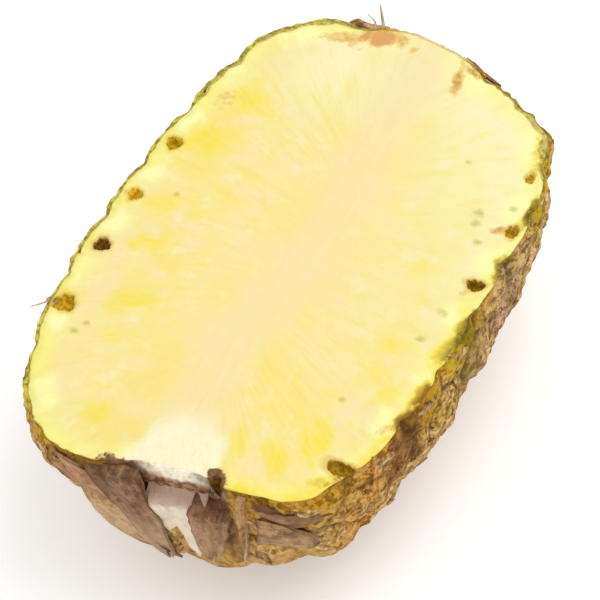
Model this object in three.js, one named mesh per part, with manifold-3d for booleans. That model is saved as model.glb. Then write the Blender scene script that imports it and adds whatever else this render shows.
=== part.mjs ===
// Half of a pineapple, cut lengthwise, lying on its rind with the cut face up.
// The crown has been twisted off and the stalk broken away. Millimetres, +Z up, +Y from the
// stalk end to the crown end. The origin is on the ground, under the middle of the half.
import * as THREE from "three";
import { mergeVertices } from "three/addons/utils/BufferGeometryUtils.js";
import Module from "manifold-3d";

// The whole fruit, a round body about a level axis
const BODY_RADIUS = 58.9;
const STALK_REACH = 87.2; // from y = 0 to the stalk end
const CROWN_REACH = 86.8; // from y = 0 to the crown end
const WIDEST_Y = -26; // where the two end shapes meet
const STALK_SHAPE = { along: 1.4, across: 5.8 }; // exponents: a flat end with round corners
const CROWN_SHAPE = { along: 4.8, across: 2.3 }; // exponents: sloping shoulders, a blunt end
const CROWN_LEAN = { share: 0.175, from_y: 20, over: 60 }; // this end slopes down on the +X side
const STALK_LEAN = { share: 0.105, from_y: -17, over: 50 }; // and this one on the -X side
const CROWN_BOW = { x: 3, y: 62, spread: 42 }; // a sideways swelling near the crown end
const STALK_BOW = { x: 4, from_y: -17, over: 60 }; // the stalk end bends sideways
const AXIS_X = 0.3;
const TUCK = { y: 2.2, from_y: -25, over: 40, from_z: 2, over_z: 24 }; // below the cut at the stalk end

// The eyes: each next one is 8/21 of a turn on, so they stand in 21 columns, and one column
// lies in the cut on -X
const EYE = { pitch: 22, columns: 21, turn_steps: 8, phase_y: 1.4, jitter: 0.9, above_axis: 4.4 };
const EYE_SHRINK = { share: 0.35, from_y: 25 }; // smaller towards the crown end
const EYE_PILLOW = { rise: 0.5, groove: 0.6, groove_share: 0.34 };
const EYE_TIP = { rise: 0.9, across: 3.4, along: 4.6, ahead: 1 }; // the dry bract tip on an eye

// Where the fruit stands out of its even form, or in: x, y, and z from the cut
const BULGES = [
  { at: [46, 66, 0], rise: 3.4, spread: 10 },
  { at: [-46, 69, 0], rise: 1.4, spread: 10 },
  { at: [-36, 80, 0], rise: 1.5, spread: 8 },
  { at: [-20, 87, 0], rise: -1.2, spread: 8 },
  { at: [-40.8, -81.6, -6], rise: 1.8, spread: 8 },
  { at: [-52.8, -57, 0], rise: 0.9, spread: 8 },
  { at: [57, 38.8, -23], rise: -1.3, spread: 8 },
  { at: [55, 1, -29], rise: 1.9, spread: 8 },
  { at: [55.3, -23, -28], rise: 2.2, spread: 8 },
  { at: [43, -64.5, -36], rise: 3, spread: 9 },
];

// Where the knife passed, and how the half lies
const CUT_ABOVE_AXIS = 7;
const FLAT_DEPTH = 0.9; // how far the lowest eyes are pressed flat by the ground
const AXIS_HEIGHT = BODY_RADIUS + EYE_PILLOW.rise - FLAT_DEPTH;
const CUT_HEIGHT = AXIS_HEIGHT + CUT_ABOVE_AXIS;
const MIDDLE = { x: 0.7, y: 0.4 }; // of the box around the half, in the fruit's own frame

// The flower cavities that the knife opened, one under an eye each
const CAVITIES = [
  { x: -52.1, y: 23.4, across: 2.4, along: 2.4, deep: 2.6 },
  { x: -53.3, y: 1.4, across: 2.1, along: 2.3, deep: 2.2 },
  { x: -53.1, y: -19.2, across: 2.5, along: 2.5, deep: 2.8 },
  { x: -52.5, y: -42.6, across: 3.3, along: 3.1, deep: 3.2 },
  { x: 52.4, y: 48.5, across: 1.5, along: 2.2, deep: 1.8 },
  { x: 56.0, y: 28.0, across: 1.9, along: 2.4, deep: 2.2 },
  { x: 54.6, y: 6.2, across: 2.7, along: 1.9, deep: 2.4 },
  { x: 47.5, y: -65.5, across: 4.4, along: 2.2, deep: 2.4 },
];

// The stalk end: a dished scar with leathery bracts on it. Each runs from one place to another
// on the end, x from the scar's middle and z from the fruit's axis, and bows sideways between
// them. A loose tip stands free of the fruit over that share of its length.
const STALK = { x: -1.2, radius: 16, edge: 4.5, dish: 3.4 };
const BRACTS = [
  { at: [-15, -13], to: [-36, 6], bow: -2, width: 19, thick: 1.6, lift: 0.9, loose: 0 },
  { at: [-22, -2], to: [-9, -36], bow: 4, width: 14, thick: 2.4, lift: 0.8, loose: 0.2 },
  { at: [1, 0], to: [3, -30], bow: 1, width: 17, thick: 1.2, lift: 0.5, loose: 0 },
  { at: [-17, 17], to: [-5, -34], bow: 2, width: 15, thick: 3.4, lift: 1.2, loose: 0.2 },
  { at: [13, -1], to: [10, -24], bow: 1.5, width: 12, thick: 4.6, lift: 1.8, loose: 0.3 },
  { at: [22.5, 13], to: [18, -25], bow: -1, width: 1.4, thick: 3.6, lift: 0.8, loose: 0 },
  { at: [21.5, 2], to: [43, 0], bow: 2, width: 9, thick: 1.6, lift: 0.6, loose: 0 },
  { at: [20.5, -9], to: [41, -14], bow: -3, width: 15, thick: 2.6, lift: 1.2, loose: 0.2 },
];
const STALK_HOLLOW = { x: 18, y: -85.5, across: 2.6, along: 4.8, deep: 7 };

// The crown end: a raised core plug where the crown was twisted off, with torn leaf bases
// around it, each at an angle about the plug's middle
const CROWN_SCAR = { x: 0.8, radius: 14, edge: 4, dish: -1.9 };
const LEAF_BASES = [
  { angle: 176, start: 12, length: 20, width: 16, thick: 2.6, lift: 0.6, loose: 0 },
  { angle: 208, start: 12, length: 20, width: 15, thick: 4.4, lift: 2.0, loose: 0.2 },
  { angle: 241, start: 12, length: 18, width: 15, thick: 5.0, lift: 2.2, loose: 0.2 },
  { angle: 274, start: 12, length: 17, width: 14, thick: 4.2, lift: 1.8, loose: 0 },
  { angle: 306, start: 12, length: 18, width: 14, thick: 4.8, lift: 2.0, loose: 0.2 },
  { angle: 338, start: 12, length: 19, width: 13, thick: 4.4, lift: 1.8, loose: 0 },
  { angle: 366, start: 9, length: 15, width: 8, thick: 4.6, lift: 1.2, loose: 0 },
];

// The form that bracts and leaf bases share
const SCALE = { rows: 7, columns: 4, tip_thick: 1.1, blunt: 0.6, loosening: 0.15 };
const SCALE_ROOT = { outer: 4.5, inner: 5, rise_over: 0.22 }; // sunk this deep, then it rises out
const SCALE_TAPER = { along: 1.7, across: 0.6 }; // exponents of the narrowing towards the tip
const SCALE_RIPPLE = { height: 0.7, across: 3.1, along: 5, next: 1.7 };
const SCALE_CURL = { base: 0.25, middle: 0.45 }; // shares of the lift at the base and midline
const END_SHARE = 0.985; // scales lie within this share of the body's radius

// How finely the surface is split
const RIM_STEPS = 67; // along each side, from the stalk end to the crown end
const DOWN_STEPS = 30; // from the rim down to the keel
const SPINE_SHARE = 0.5; // the rays start on a line this share of the half's length
const KNIFE_SPARE = 1.5; // the body is built this far above the cut, then sliced
const FARTHEST = 160; // beyond the fruit from anywhere inside it
const HALVINGS = 40; // of a ray, to find where it leaves the fruit
const MERIDIAN_STEPS = 600;
const RIM_SEARCH_STEPS = 300;
const BALL_SIDES = { around: 9, down: 6 }; // of a cavity

const wasm = await Module();
wasm.setup();

// A repeatable draw between -1 and 1 for each whole number
function draw(seed) {
  const wave = Math.sin(seed * 127.1 + 311.7) * 43758.5453;
  return (wave - Math.floor(wave)) * 2 - 1;
}

// The bends of the fruit: how far it swells sideways, and how far its ends lean and draw in
function swell(y) {
  const crown = CROWN_BOW.x * Math.exp(-(((y - CROWN_BOW.y) / CROWN_BOW.spread) ** 2));
  const stalk = STALK_BOW.x * (Math.max(STALK_BOW.from_y - y, 0) / STALK_BOW.over) ** 2;
  return AXIS_X + crown + stalk;
}

function lean(x, y) {
  const crown = THREE.MathUtils.clamp((y - CROWN_LEAN.from_y) / CROWN_LEAN.over, 0, 1);
  const stalk = THREE.MathUtils.clamp((STALK_LEAN.from_y - y) / STALK_LEAN.over, 0, 1);
  return x * (CROWN_LEAN.share * crown - STALK_LEAN.share * stalk);
}

function tuck(y, z) {
  const nearEnd = THREE.MathUtils.smoothstep(TUCK.from_y - y, 0, TUCK.over);
  return TUCK.y * nearEnd * THREE.MathUtils.smoothstep(CUT_HEIGHT - z - TUCK.from_z, 0, TUCK.over_z);
}

// A point of the bent fruit in the frame of a straight round one, and back again
function straighten(point) {
  const y = point.y + lean(point.x, point.y) - tuck(point.y, point.z);
  return new THREE.Vector3(point.x - swell(y), y, point.z - AXIS_HEIGHT);
}

function bend(point) {
  const x = point.x + swell(point.y);
  const z = point.z + AXIS_HEIGHT;
  return new THREE.Vector3(x, point.y - lean(x, point.y) + tuck(point.y, z), z);
}

// Below zero inside the straight fruit, above zero outside
function profile(y, radius) {
  const shape = y < WIDEST_Y ? STALK_SHAPE : CROWN_SHAPE;
  const reach = y < WIDEST_Y ? STALK_REACH + WIDEST_Y : CROWN_REACH - WIDEST_Y;
  const along = (Math.abs(y - WIDEST_Y) / reach) ** shape.along;
  return (radius / BODY_RADIUS) ** shape.across + along - 1;
}

// The last distance along a ray that is still inside
function lastInside(isInside) {
  let inside = 0;
  let outside = FARTHEST;
  for (let i = 0; i < HALVINGS; i++) {
    const middle = (inside + outside) / 2;
    if (isInside(middle)) inside = middle;
    else outside = middle;
  }
  return inside;
}

function reachOut(start, direction) {
  return lastInside((distance) => {
    const p = straighten(start.clone().addScaledVector(direction, distance));
    return profile(p.y, Math.hypot(p.x, p.z)) < 0;
  });
}

// The straight fruit as rings from the stalk pole to the crown pole, each with the number of
// eyes that the surface below it holds
function meridian() {
  const start = new THREE.Vector2(WIDEST_Y, 0);
  const rings = [];
  for (let i = 0; i <= MERIDIAN_STEPS; i++) {
    const angle = Math.PI * (i / MERIDIAN_STEPS - 0.5);
    const direction = new THREE.Vector2(Math.sin(angle), Math.cos(angle));
    const at = (distance) => start.clone().addScaledVector(direction, distance);
    const { x: y, y: radius } = at(lastInside((distance) => profile(...at(distance)) < 0));
    const last = rings.at(-1) ?? { y, radius, count: 0 };
    const strip = Math.PI * (radius + last.radius) * Math.hypot(y - last.y, radius - last.radius);
    rings.push({ y, radius, count: last.count + strip / eyeArea(y) });
  }
  return rings;
}

function eyeArea(y) {
  const shrink = 1 - EYE_SHRINK.share * THREE.MathUtils.smoothstep(y, EYE_SHRINK.from_y, CROWN_REACH);
  return ((2 * Math.PI * BODY_RADIUS * EYE.pitch) / EYE.columns) * shrink;
}

// Every eye of the fruit: its middle on the body and its own directions, onward to the crown
function layEyes() {
  const rings = meridian();
  const most = rings.at(-1).count;
  const ringAt = (count) => {
    const after = Math.max(1, rings.findIndex((ring) => ring.count >= count));
    const [a, b] = [rings[after - 1], rings[after]];
    const share = (count - a.count) / (b.count - a.count);
    const between = (key) => THREE.MathUtils.lerp(a[key], b[key], share);
    return { y: between("y"), radius: between("radius") };
  };
  const first = rings.find((ring) => ring.y >= EYE.phase_y).count;
  const firstTurn = Math.PI - Math.asin(EYE.above_axis / BODY_RADIUS);
  const laid = [];
  for (let n = -Math.floor(first); n + first < most - 1; n++) {
    const turn = firstTurn + (n * EYE.turn_steps * 2 * Math.PI) / EYE.columns;
    const radial = new THREE.Vector3(Math.cos(turn), 0, Math.sin(turn));
    const place = ({ y, radius }) => {
      const straight = radial.clone().multiplyScalar(radius);
      straight.y = y + EYE.jitter * draw(n);
      return bend(straight);
    };
    const middle = place(ringAt(n + first));
    const onward = place(ringAt(n + first + 0.5)).sub(middle).normalize();
    laid.push({ middle, onward, across: radial.clone().cross(onward).normalize() });
  }
  return laid;
}

const eyes = layEyes();

// How far the rind stands out of the smooth body at a point: a pillow on each eye with a groove
// around it, a raised tip on the pillow, and a dish at each scar
function relief(point) {
  let [first, second] = [Infinity, Infinity];
  let eye;
  for (const candidate of eyes) {
    const distance = candidate.middle.distanceTo(point);
    if (distance < first) [second, first, eye] = [first, distance, candidate];
    else if (distance < second) second = distance;
  }
  const { rise, groove, groove_share } = EYE_PILLOW;
  const pillow = THREE.MathUtils.smoothstep((second - first) / EYE.pitch, 0, groove_share);
  const offset = point.clone().sub(eye.middle);
  const across = offset.dot(eye.across) / EYE_TIP.across;
  const ahead = (offset.dot(eye.onward) - EYE_TIP.ahead) / EYE_TIP.along;
  const tip = EYE_TIP.rise * Math.exp(-across * across - ahead * ahead);
  const rind = (rise + groove) * pillow - groove + tip;
  const p = straighten(point);
  const end = p.y < 0 ? STALK : CROWN_SCAR;
  const outside = THREE.MathUtils.smoothstep(
    Math.hypot(p.x - end.x, p.z),
    end.radius - end.edge,
    end.radius + end.edge,
  );
  return THREE.MathUtils.lerp(-end.dish, rind, outside) + bulge(point);
}

function bulge(point) {
  return BULGES.reduce((total, { at, rise, spread }) => {
    const middle = new THREE.Vector3(at[0], at[1], at[2] + CUT_HEIGHT);
    return total + rise * Math.exp(-((point.distanceTo(middle) / spread) ** 2));
  }, 0);
}

// The outline in the knife's plane on one side, evenly spaced from the stalk to the crown end
function rim(side) {
  const fine = [];
  const centre = new THREE.Vector3(0, 0, CUT_HEIGHT + KNIFE_SPARE);
  for (let i = 0; i <= RIM_SEARCH_STEPS; i++) {
    const angle = (Math.PI * i) / RIM_SEARCH_STEPS;
    const direction = new THREE.Vector3(side * Math.sin(angle), -Math.cos(angle), 0);
    fine.push(centre.clone().addScaledVector(direction, reachOut(centre, direction)));
  }
  return new THREE.CatmullRomCurve3(fine).getSpacedPoints(RIM_STEPS);
}

// The body as a closed mesh. Rays fan from a spine in the knife's plane, level at the rim and
// straight down at the keel, where the two sides meet.
function bodyGeometry() {
  const sides = [rim(1), rim(-1)];
  const spine = sides[0].map((right, i) => {
    const y = (SPINE_SHARE * (right.y + sides[1][i].y)) / 2;
    return new THREE.Vector3(0, y, CUT_HEIGHT + KNIFE_SPARE);
  });
  const positions = [];
  const rise = [];
  const made = new Map();
  const vertex = (key, place) => {
    if (!made.has(key)) {
      made.set(key, rise.length);
      const [point, height] = place();
      positions.push(...point.toArray());
      rise.push(height);
    }
    return made.get(key);
  };
  const skin = (side, i, k) => {
    const shared = i === 0 || i === RIM_STEPS || k === DOWN_STEPS;
    return vertex(`skin ${shared ? 0 : side} ${i} ${k}`, () => {
      const level = sides[side][i].clone().sub(spine[i]).normalize();
      const down = ((Math.PI / 2) * k) / DOWN_STEPS;
      const ray = level.multiplyScalar(Math.cos(down)).add(new THREE.Vector3(0, 0, -Math.sin(down)));
      const smooth = spine[i].clone().addScaledVector(ray, reachOut(spine[i], ray));
      const height = relief(smooth);
      const point = smooth.addScaledVector(ray, height);
      point.z = Math.max(point.z, 0);
      return [point, height];
    });
  };
  const middle = (i) => vertex(`spine ${i}`, () => [spine[i], 0]);
  const faces = [];
  const quad = (side, ...corners) => {
    const [a, b, c, d] = side === 0 ? corners : corners.reverse();
    const alongGroove = Math.abs(rise[a] - rise[c]) < Math.abs(rise[b] - rise[d]);
    faces.push(...(alongGroove ? [a, b, c, a, c, d] : [a, b, d, b, c, d]));
  };
  for (const side of [0, 1]) {
    for (let i = 0; i < RIM_STEPS; i++) {
      quad(side, middle(i), skin(side, i, 0), skin(side, i + 1, 0), middle(i + 1));
      for (let k = 0; k < DOWN_STEPS; k++) {
        const [near, far] = [i, i + 1].map((at) => [skin(side, at, k), skin(side, at, k + 1)]);
        quad(side, near[0], near[1], far[1], far[0]);
      }
    }
  }
  const geometry = new THREE.BufferGeometry();
  geometry.setAttribute("position", new THREE.Float32BufferAttribute(positions, 3));
  geometry.setIndex(faces);
  return geometry;
}

// A closed leaf: a grid of (along 0..1, across -1..1) places with an inner and an outer face
function leafGeometry(alongSteps, acrossSteps, place) {
  const positions = [];
  const faces = [];
  const row = acrossSteps + 1;
  const layer = (alongSteps + 1) * row;
  for (const outer of [0, 1]) {
    for (let i = 0; i <= alongSteps; i++) {
      for (let j = 0; j <= acrossSteps; j++) {
        positions.push(...place(i / alongSteps, (2 * j) / acrossSteps - 1, outer).toArray());
      }
    }
  }
  const quad = (a, b, c, d) => faces.push(a, c, b, a, d, c);
  for (let i = 0; i < alongSteps; i++) {
    for (let j = 0; j < acrossSteps; j++) {
      const at = i * row + j;
      quad(at, at + row, at + row + 1, at + 1);
      quad(layer + at, layer + at + 1, layer + at + row + 1, layer + at + row);
    }
    for (const [j, flip] of [[0, false], [acrossSteps, true]]) {
      const a = i * row + j;
      if (flip) quad(a, a + row, a + row + layer, a + layer);
      else quad(a, a + layer, a + row + layer, a + row);
    }
  }
  for (let j = 0; j < acrossSteps; j++) {
    quad(j, j + 1, j + 1 + layer, j + layer);
    const end = alongSteps * row + j;
    quad(end, end + layer, end + 1 + layer, end + 1);
  }
  const geometry = new THREE.BufferGeometry();
  geometry.setAttribute("position", new THREE.Float32BufferAttribute(positions, 3));
  geometry.setIndex(faces);
  return geometry;
}

// The y of the straight fruit's surface at a distance from its axis, at one end
function endSurface(end, radius) {
  const share = Math.min(radius / BODY_RADIUS, END_SHARE) ** end.shape.across;
  return WIDEST_Y + end.reach * (1 - share) ** (1 / end.shape.along);
}

// A scale that points straight away from the middle of its end
function spoke({ angle, start, length, ...rest }) {
  const turn = THREE.MathUtils.degToRad(angle);
  const on = (distance) => [distance * Math.cos(turn), distance * Math.sin(turn)];
  return { at: on(start), to: on(start + length), bow: 0, ...rest };
}

// A bract or leaf base that lies on one end of the fruit
function scaleGeometry({ at, to, bow, width, thick, lift, loose }, index, end) {
  const base = new THREE.Vector2(...at);
  const line = new THREE.Vector2(...to).sub(base);
  const length = line.length();
  const away = line.normalize();
  const aside = new THREE.Vector2(-away.y, away.x).multiplyScalar(-end.outward);
  return leafGeometry(SCALE.rows, SCALE.columns, (along, across, outer) => {
    const half = (width / 2) * (1 - along ** SCALE_TAPER.along) ** SCALE_TAPER.across + SCALE.blunt;
    const bowed = 4 * along * (1 - along); // 0 at both ends and 1 halfway
    const flat = base.clone().addScaledVector(away, along * length);
    flat.addScaledVector(aside, across * half + bow * end.outward * bowed);
    flat.x += end.x;
    const { height, next } = SCALE_RIPPLE;
    const phase = SCALE_RIPPLE.across * across + SCALE_RIPPLE.along * along + next * index;
    const alongCurl = THREE.MathUtils.lerp(SCALE_CURL.base, 1, along);
    const acrossCurl = THREE.MathUtils.lerp(SCALE_CURL.middle, 1, across * across);
    const risen = thick / 2 + lift * alongCurl * acrossCurl + height * Math.sin(phase);
    const out = THREE.MathUtils.smoothstep(along, 0, SCALE_ROOT.rise_over);
    const top = THREE.MathUtils.lerp(-SCALE_ROOT.outer, risen, out);
    const from = 1 - loose;
    const free = loose > 0 ? THREE.MathUtils.smoothstep(along, from, from + SCALE.loosening) : 0;
    const stand = outer ? top : THREE.MathUtils.lerp(-SCALE_ROOT.inner, top - SCALE.tip_thick, free);
    const y = endSurface(end, flat.length()) + end.outward * stand;
    return bend(new THREE.Vector3(flat.x, y, flat.y));
  });
}

// A flattened ball whose middle lies in the cut
function ballGeometry({ x, y, across, along, deep }) {
  const ball = new THREE.SphereGeometry(1, BALL_SIDES.around, BALL_SIDES.down);
  return ball.scale(across, along, deep).translate(x, y, CUT_HEIGHT);
}

// Turns a closed geometry into a solid for joining and cutting
function solid(geometry) {
  const bare = geometry.clone();
  bare.deleteAttribute("normal");
  bare.deleteAttribute("uv");
  const merged = mergeVertices(bare, 1e-4);
  const mesh = new wasm.Mesh({
    numProp: 3,
    vertProperties: new Float32Array(merged.getAttribute("position").array),
    triVerts: new Uint32Array(merged.getIndex().array),
  });
  return new wasm.Manifold(mesh);
}

function toGeometry(made) {
  const mesh = made.getMesh();
  const geometry = new THREE.BufferGeometry();
  geometry.setAttribute("position", new THREE.Float32BufferAttribute(mesh.vertProperties, 3));
  geometry.setIndex(new THREE.Uint32BufferAttribute(mesh.triVerts, 1));
  return geometry;
}

// The fruit with its bracts and leaf bases joined on, then sliced and hollowed where it is open
function halfPineapple() {
  const stalkEnd = { x: STALK.x, shape: STALK_SHAPE, reach: -STALK_REACH - WIDEST_Y, outward: -1 };
  const crownEnd = { x: CROWN_SCAR.x, shape: CROWN_SHAPE, reach: CROWN_REACH - WIDEST_Y, outward: 1 };
  const scales = [
    ...BRACTS.map((bract, i) => scaleGeometry(bract, i, stalkEnd)),
    ...LEAF_BASES.map((leaf, i) => scaleGeometry(spoke(leaf), i, crownEnd)),
  ];
  const whole = scales.reduce((fruit, scale) => fruit.add(solid(scale)), solid(bodyGeometry()));
  const aboveCut = new THREE.BoxGeometry(2 * FARTHEST, 2 * FARTHEST, 2 * FARTHEST);
  aboveCut.translate(0, 0, CUT_HEIGHT + FARTHEST);
  const opened = [...CAVITIES, STALK_HOLLOW].map(ballGeometry);
  const left = [aboveCut, ...opened].reduce((fruit, removed) => fruit.subtract(solid(removed)), whole);
  return toGeometry(left).translate(-MIDDLE.x, -MIDDLE.y, 0);
}

const flesh = new THREE.MeshStandardMaterial({ color: 0xf5dd8c, roughness: 0.45, metalness: 0 });
const half = new THREE.Mesh(halfPineapple(), flesh);
half.name = "half_pineapple";

const pineapple = new THREE.Group();
pineapple.add(half);

export default pineapple;
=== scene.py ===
"""Half of a pineapple, cut lengthwise, lying on its rind on a white ground."""

import math
from collections import namedtuple
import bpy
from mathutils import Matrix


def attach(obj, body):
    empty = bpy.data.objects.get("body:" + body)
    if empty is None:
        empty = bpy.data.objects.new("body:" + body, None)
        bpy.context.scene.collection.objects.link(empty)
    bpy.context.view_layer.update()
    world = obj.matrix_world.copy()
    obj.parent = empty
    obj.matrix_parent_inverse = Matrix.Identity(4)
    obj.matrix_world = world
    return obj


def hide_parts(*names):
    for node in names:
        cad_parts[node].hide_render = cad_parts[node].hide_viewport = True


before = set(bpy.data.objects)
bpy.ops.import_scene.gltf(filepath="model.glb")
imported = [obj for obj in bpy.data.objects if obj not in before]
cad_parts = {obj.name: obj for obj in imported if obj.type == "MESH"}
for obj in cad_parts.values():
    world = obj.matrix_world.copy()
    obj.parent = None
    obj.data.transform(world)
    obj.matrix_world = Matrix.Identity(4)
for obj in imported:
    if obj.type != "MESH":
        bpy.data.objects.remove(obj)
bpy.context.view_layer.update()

from types import SimpleNamespace as Values

import bmesh
import bpy
import numpy as np
from mathutils import Matrix, Vector

MM = 0.001

# The whole fruit in millimetres, in its own frame: +Z up, +Y from the stalk to the crown
BODY_RADIUS = 58.9
STALK_REACH = 87.2
CROWN_REACH = 86.8
WIDEST_Y = -26
Shape = namedtuple("Shape", "along across")
STALK_SHAPE = Shape(along=1.4, across=5.8)
CROWN_SHAPE = Shape(along=4.8, across=2.3)
CROWN_LEAN = Values(share=0.175, from_y=20, over=60)
STALK_LEAN = Values(share=0.105, from_y=-17, over=50)
CROWN_BOW = Values(x=3.0, y=62, spread=42)
STALK_BOW = Values(x=4.0, from_y=-17, over=60)
AXIS_X = 0.3
TUCK = Values(y=2.2, from_y=-25, over=40, from_z=2, over_z=24)  # the stalk end, below the cut

# The eyes of the rind
EYE = Values(pitch=22, columns=21, turn_steps=8, phase_y=1.4, jitter=0.9, above_axis=4.4)
EYE_SHRINK = Values(share=0.35, from_y=25)
EYE_PILLOW = Values(rise=0.5, groove=0.6, groove_share=0.34)
EYE_TIP = Values(rise=0.9, across=3.4, along=4.6, ahead=1)
RIGHT_PHASE_Y = 5.6  # an eye of the column in the cut on +X is here

# The small forms in each eye: a cracked groove, three sepals, a lip over them, and swirls
CRACK = Values(deep=0.3, wide=0.9)
SEPALS = Values(count=3, rise=0.22, radius=3.2, wide=1.8)
LIP = Values(rise=0.3, behind=5.5, bow=0.12, wide=1.1)
SWIRLS = Values(count=9, rise=0.16, stray=3, stray_size=6)
GRAIN = [(0.42, 3.1, 3), (0.36, 1.7, 4), (0.10, 0.9, 5)]  # rise, size and seed
SCAR_FIBRES = Values(rise=0.25, size=1.2, squeeze=(1, 1, 0.3), grain_share=0.7)

# Where the fruit stands out of its even form, or in: x, y, and z from the cut, how far, how wide
BULGES = [
    (46, 66, 0, 3.4, 10), (-46, 69, 0, 1.4, 10), (-36, 80, 0, 1.5, 8), (-20, 87, 0, -1.2, 8),
    (-40.8, -81.6, -6, 1.8, 8), (-52.8, -57, 0, 0.9, 8), (57, 38.8, -23, -1.3, 8),
    (55, 1, -29, 1.9, 8), (55.3, -23, -28, 2.2, 8), (43, -64.5, -36, 3.0, 9),
]

# The cut, and the way the half lies
CUT_ABOVE_AXIS = 7
FLAT_DEPTH = 0.9
AXIS_HEIGHT = BODY_RADIUS + EYE_PILLOW.rise - FLAT_DEPTH
CUT_Z = AXIS_HEIGHT + CUT_ABOVE_AXIS
MIDDLE = np.array([0.7, 0.4, 0])

# The flower cavities that the knife opened, and last the dark hollow beside the stalk
Cavity = namedtuple("Cavity", "x y across along deep tone fainter")
CAVITIES = [
    Cavity(-52.1, 23.4, 2.4, 2.4, 2.6, 0.85, 0),
    Cavity(-53.3, 1.4, 2.1, 2.3, 2.2, 1.0, 0),
    Cavity(-53.1, -19.2, 2.5, 2.5, 2.8, 0.12, 0),
    Cavity(-52.5, -42.6, 3.3, 3.1, 3.2, 0.9, 0),
    Cavity(52.4, 48.5, 1.5, 2.2, 1.8, 0.7, 0.2),
    Cavity(56.0, 28.0, 1.9, 2.4, 2.2, 0.6, 0),
    Cavity(54.6, 6.2, 2.7, 1.9, 2.4, 0.25, 0),
    Cavity(47.5, -65.5, 4.4, 2.2, 2.4, 0.4, 0),
    Cavity(18.0, -85.5, 2.6, 4.8, 7.0, 0.0, 0),
]

# Specks in the flesh: where they are in the cut, and their radius
SPECKS = [
    (45.4, 27.1, 1.6), (48.7, 20.7, 1.3), (44.4, 30.7, 1.7), (52.9, 35.6, 1.2), (48.3, -17.0, 1.2),
    (-42.5, -47.0, 1.2), (-44.8, -50.5, 1.2), (50.2, -6.3, 1.5), (33.4, 47.5, 0.9), (37.8, -44.4, 1.1),
    (-41.5, 5.5, 1.0),
]

# Patches of colour: middle, half length, half width, turn of the length from +X, and depth
OLIVE_STAINS = [
    (58.3, -11.6, 6.6, 3.6, 76, 1.0), (56.6, -19.4, 5.4, 3.0, 72, 0.85), (56.4, -35.5, 5.5, 2.3, 80, 1.0),
    (55.8, -44.0, 4.2, 1.9, 75, 0.9), (59.0, 14.5, 4.5, 2.2, 84, 1.0), (58.1, 35.2, 4.8, 1.8, 97, 1.0),
    (44.0, -71.5, 5.0, 2.2, 30, 0.7), (51.0, 57.0, 8.0, 2.0, 110, 0.6),
]
FLESH_PATCHES = {  # each with the seed of its ragged edge
    "ripe": (38, [
        (-39.3, -13.8, 7.0, 3.4, 21, 1.0), (-35.2, -35.8, 8.0, 3.6, 17, 0.75),
        (-32.4, -47.3, 8.0, 3.6, 14, 0.6), (-24.4, -73.8, 6.0, 3.4, 30, 0.8),
        (-42.6, 0.9, 6.5, 5.0, 21, 0.7), (-44.8, 26.0, 10.0, 6.0, 60, 1.0),
        (-38.8, 48.3, 9.0, 6.0, 120, 0.9), (17.0, -67.0, 7.0, 3.0, 117, 1.0),
        (37.6, -59.5, 8.0, 5.0, 100, 1.0), (29.2, -69.3, 8.0, 4.4, 117, 1.0),
        (13.1, -41.6, 9.0, 4.0, 100, 0.5), (48.5, -38.4, 6.0, 2.8, 60, 0.8),
        (12.0, 46.0, 13.0, 5.0, 75, 0.4), (44.0, -22.0, 6.0, 2.4, 20, 0.5),
        (38.0, 6.0, 8.0, 2.6, 12, 0.4),
    ]),
    "rust": (58, [
        (-13.5, 83.4, 11.5, 4.2, 14, 1.0), (-24.0, 80.4, 8.0, 3.2, 22, 0.6),
        (-1.0, 82.6, 2.2, 1.5, 60, 0.6), (55.0, 4.5, 4.0, 1.6, 40, 0.6),
        (20.0, 80.4, 5.0, 1.7, 152, 0.85), (-54.5, 1.5, 2.0, 3.0, 100, 0.6),
        (52.5, -49.0, 3.0, 2.0, 70, 0.4), (16.4, 77.0, 7.0, 2.0, 103, 0.85),
        (53.0, 27.2, 3.4, 2.0, 20, 0.95), (-46.0, 44.5, 5.0, 3.0, 60, 0.36),
    ]),
    "brown": (78, [
        (-10.5, -88.0, 9.5, 3.4, 5, 1.0), (17.4, -81.6, 3.6, 2.8, 110, 1.0),
        (20.2, -85.2, 3.2, 3.6, 90, 1.0), (50.2, -66.2, 3.6, 2.6, 20, 0.95),
        (57.5, -51.5, 2.6, 1.6, 70, 0.6),
    ]),
}
RIND_PATCHES = {
    "dark_olive": (74, [(60.0, -7.0, 9.0, 5.0, 90, 0.9), (59.5, 16.0, 5.0, 4.0, 90, 0.5)]),
    "dark_brown": (76, [(58.0, -45.0, 7.5, 5.0, 75, 1.0), (-13.0, -89.5, 16.0, 5.0, 4, 0.95)]),
    "mauve": (82, [(60.5, 17.0, 15.0, 5.0, 88, 0.9), (30.0, -86.0, 5.0, 3.0, 20, 0.5)]),
    "rusty": (84, [(55.5, -53.0, 9.0, 5.0, 70, 0.8), (50.0, -64.0, 9.0, 5.0, 50, 0.85)]),
    "golden": (86, [(57.5, -36.0, 8.0, 5.0, 80, 0.85)]),
    # painted shade of the dark hollow beside the stalk, on the rind round it
    "hollow_shade": (88, [(18.4, -87.4, 6.4, 5.2, 90, 1.0)]),
}
PALE_SIDE = Values(x=0.8, y=0.5, low=8, high=78)  # the flesh pales towards this direction
RIM_YELLOW = Values(from_y=22, to_y=-20, wide=9)  # a deep yellow rim on the +X side of the stalk half
SKIN = Values(wide=0.55, crown_left=1.5, crown_right=2.2)  # the olive line round the cut

# The cut face: fibres, shallow cells, lumps, lengthwise ridges, and the highest it may stand
FACE = Values(fine=0.09, coarse=0.14, cell=0.25, lumps=0.06, ridges=0.05, most=0.12)

# The core shows as a paler band in the cut: its middle and half width along the fruit
CORE = Values(y=(-85, -54, -35, -7, 18, 35, 90), x=(2.0, -0.5, 0.5, 5.2, 6.5, 5.5, 3.0), half=8.5)

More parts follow.
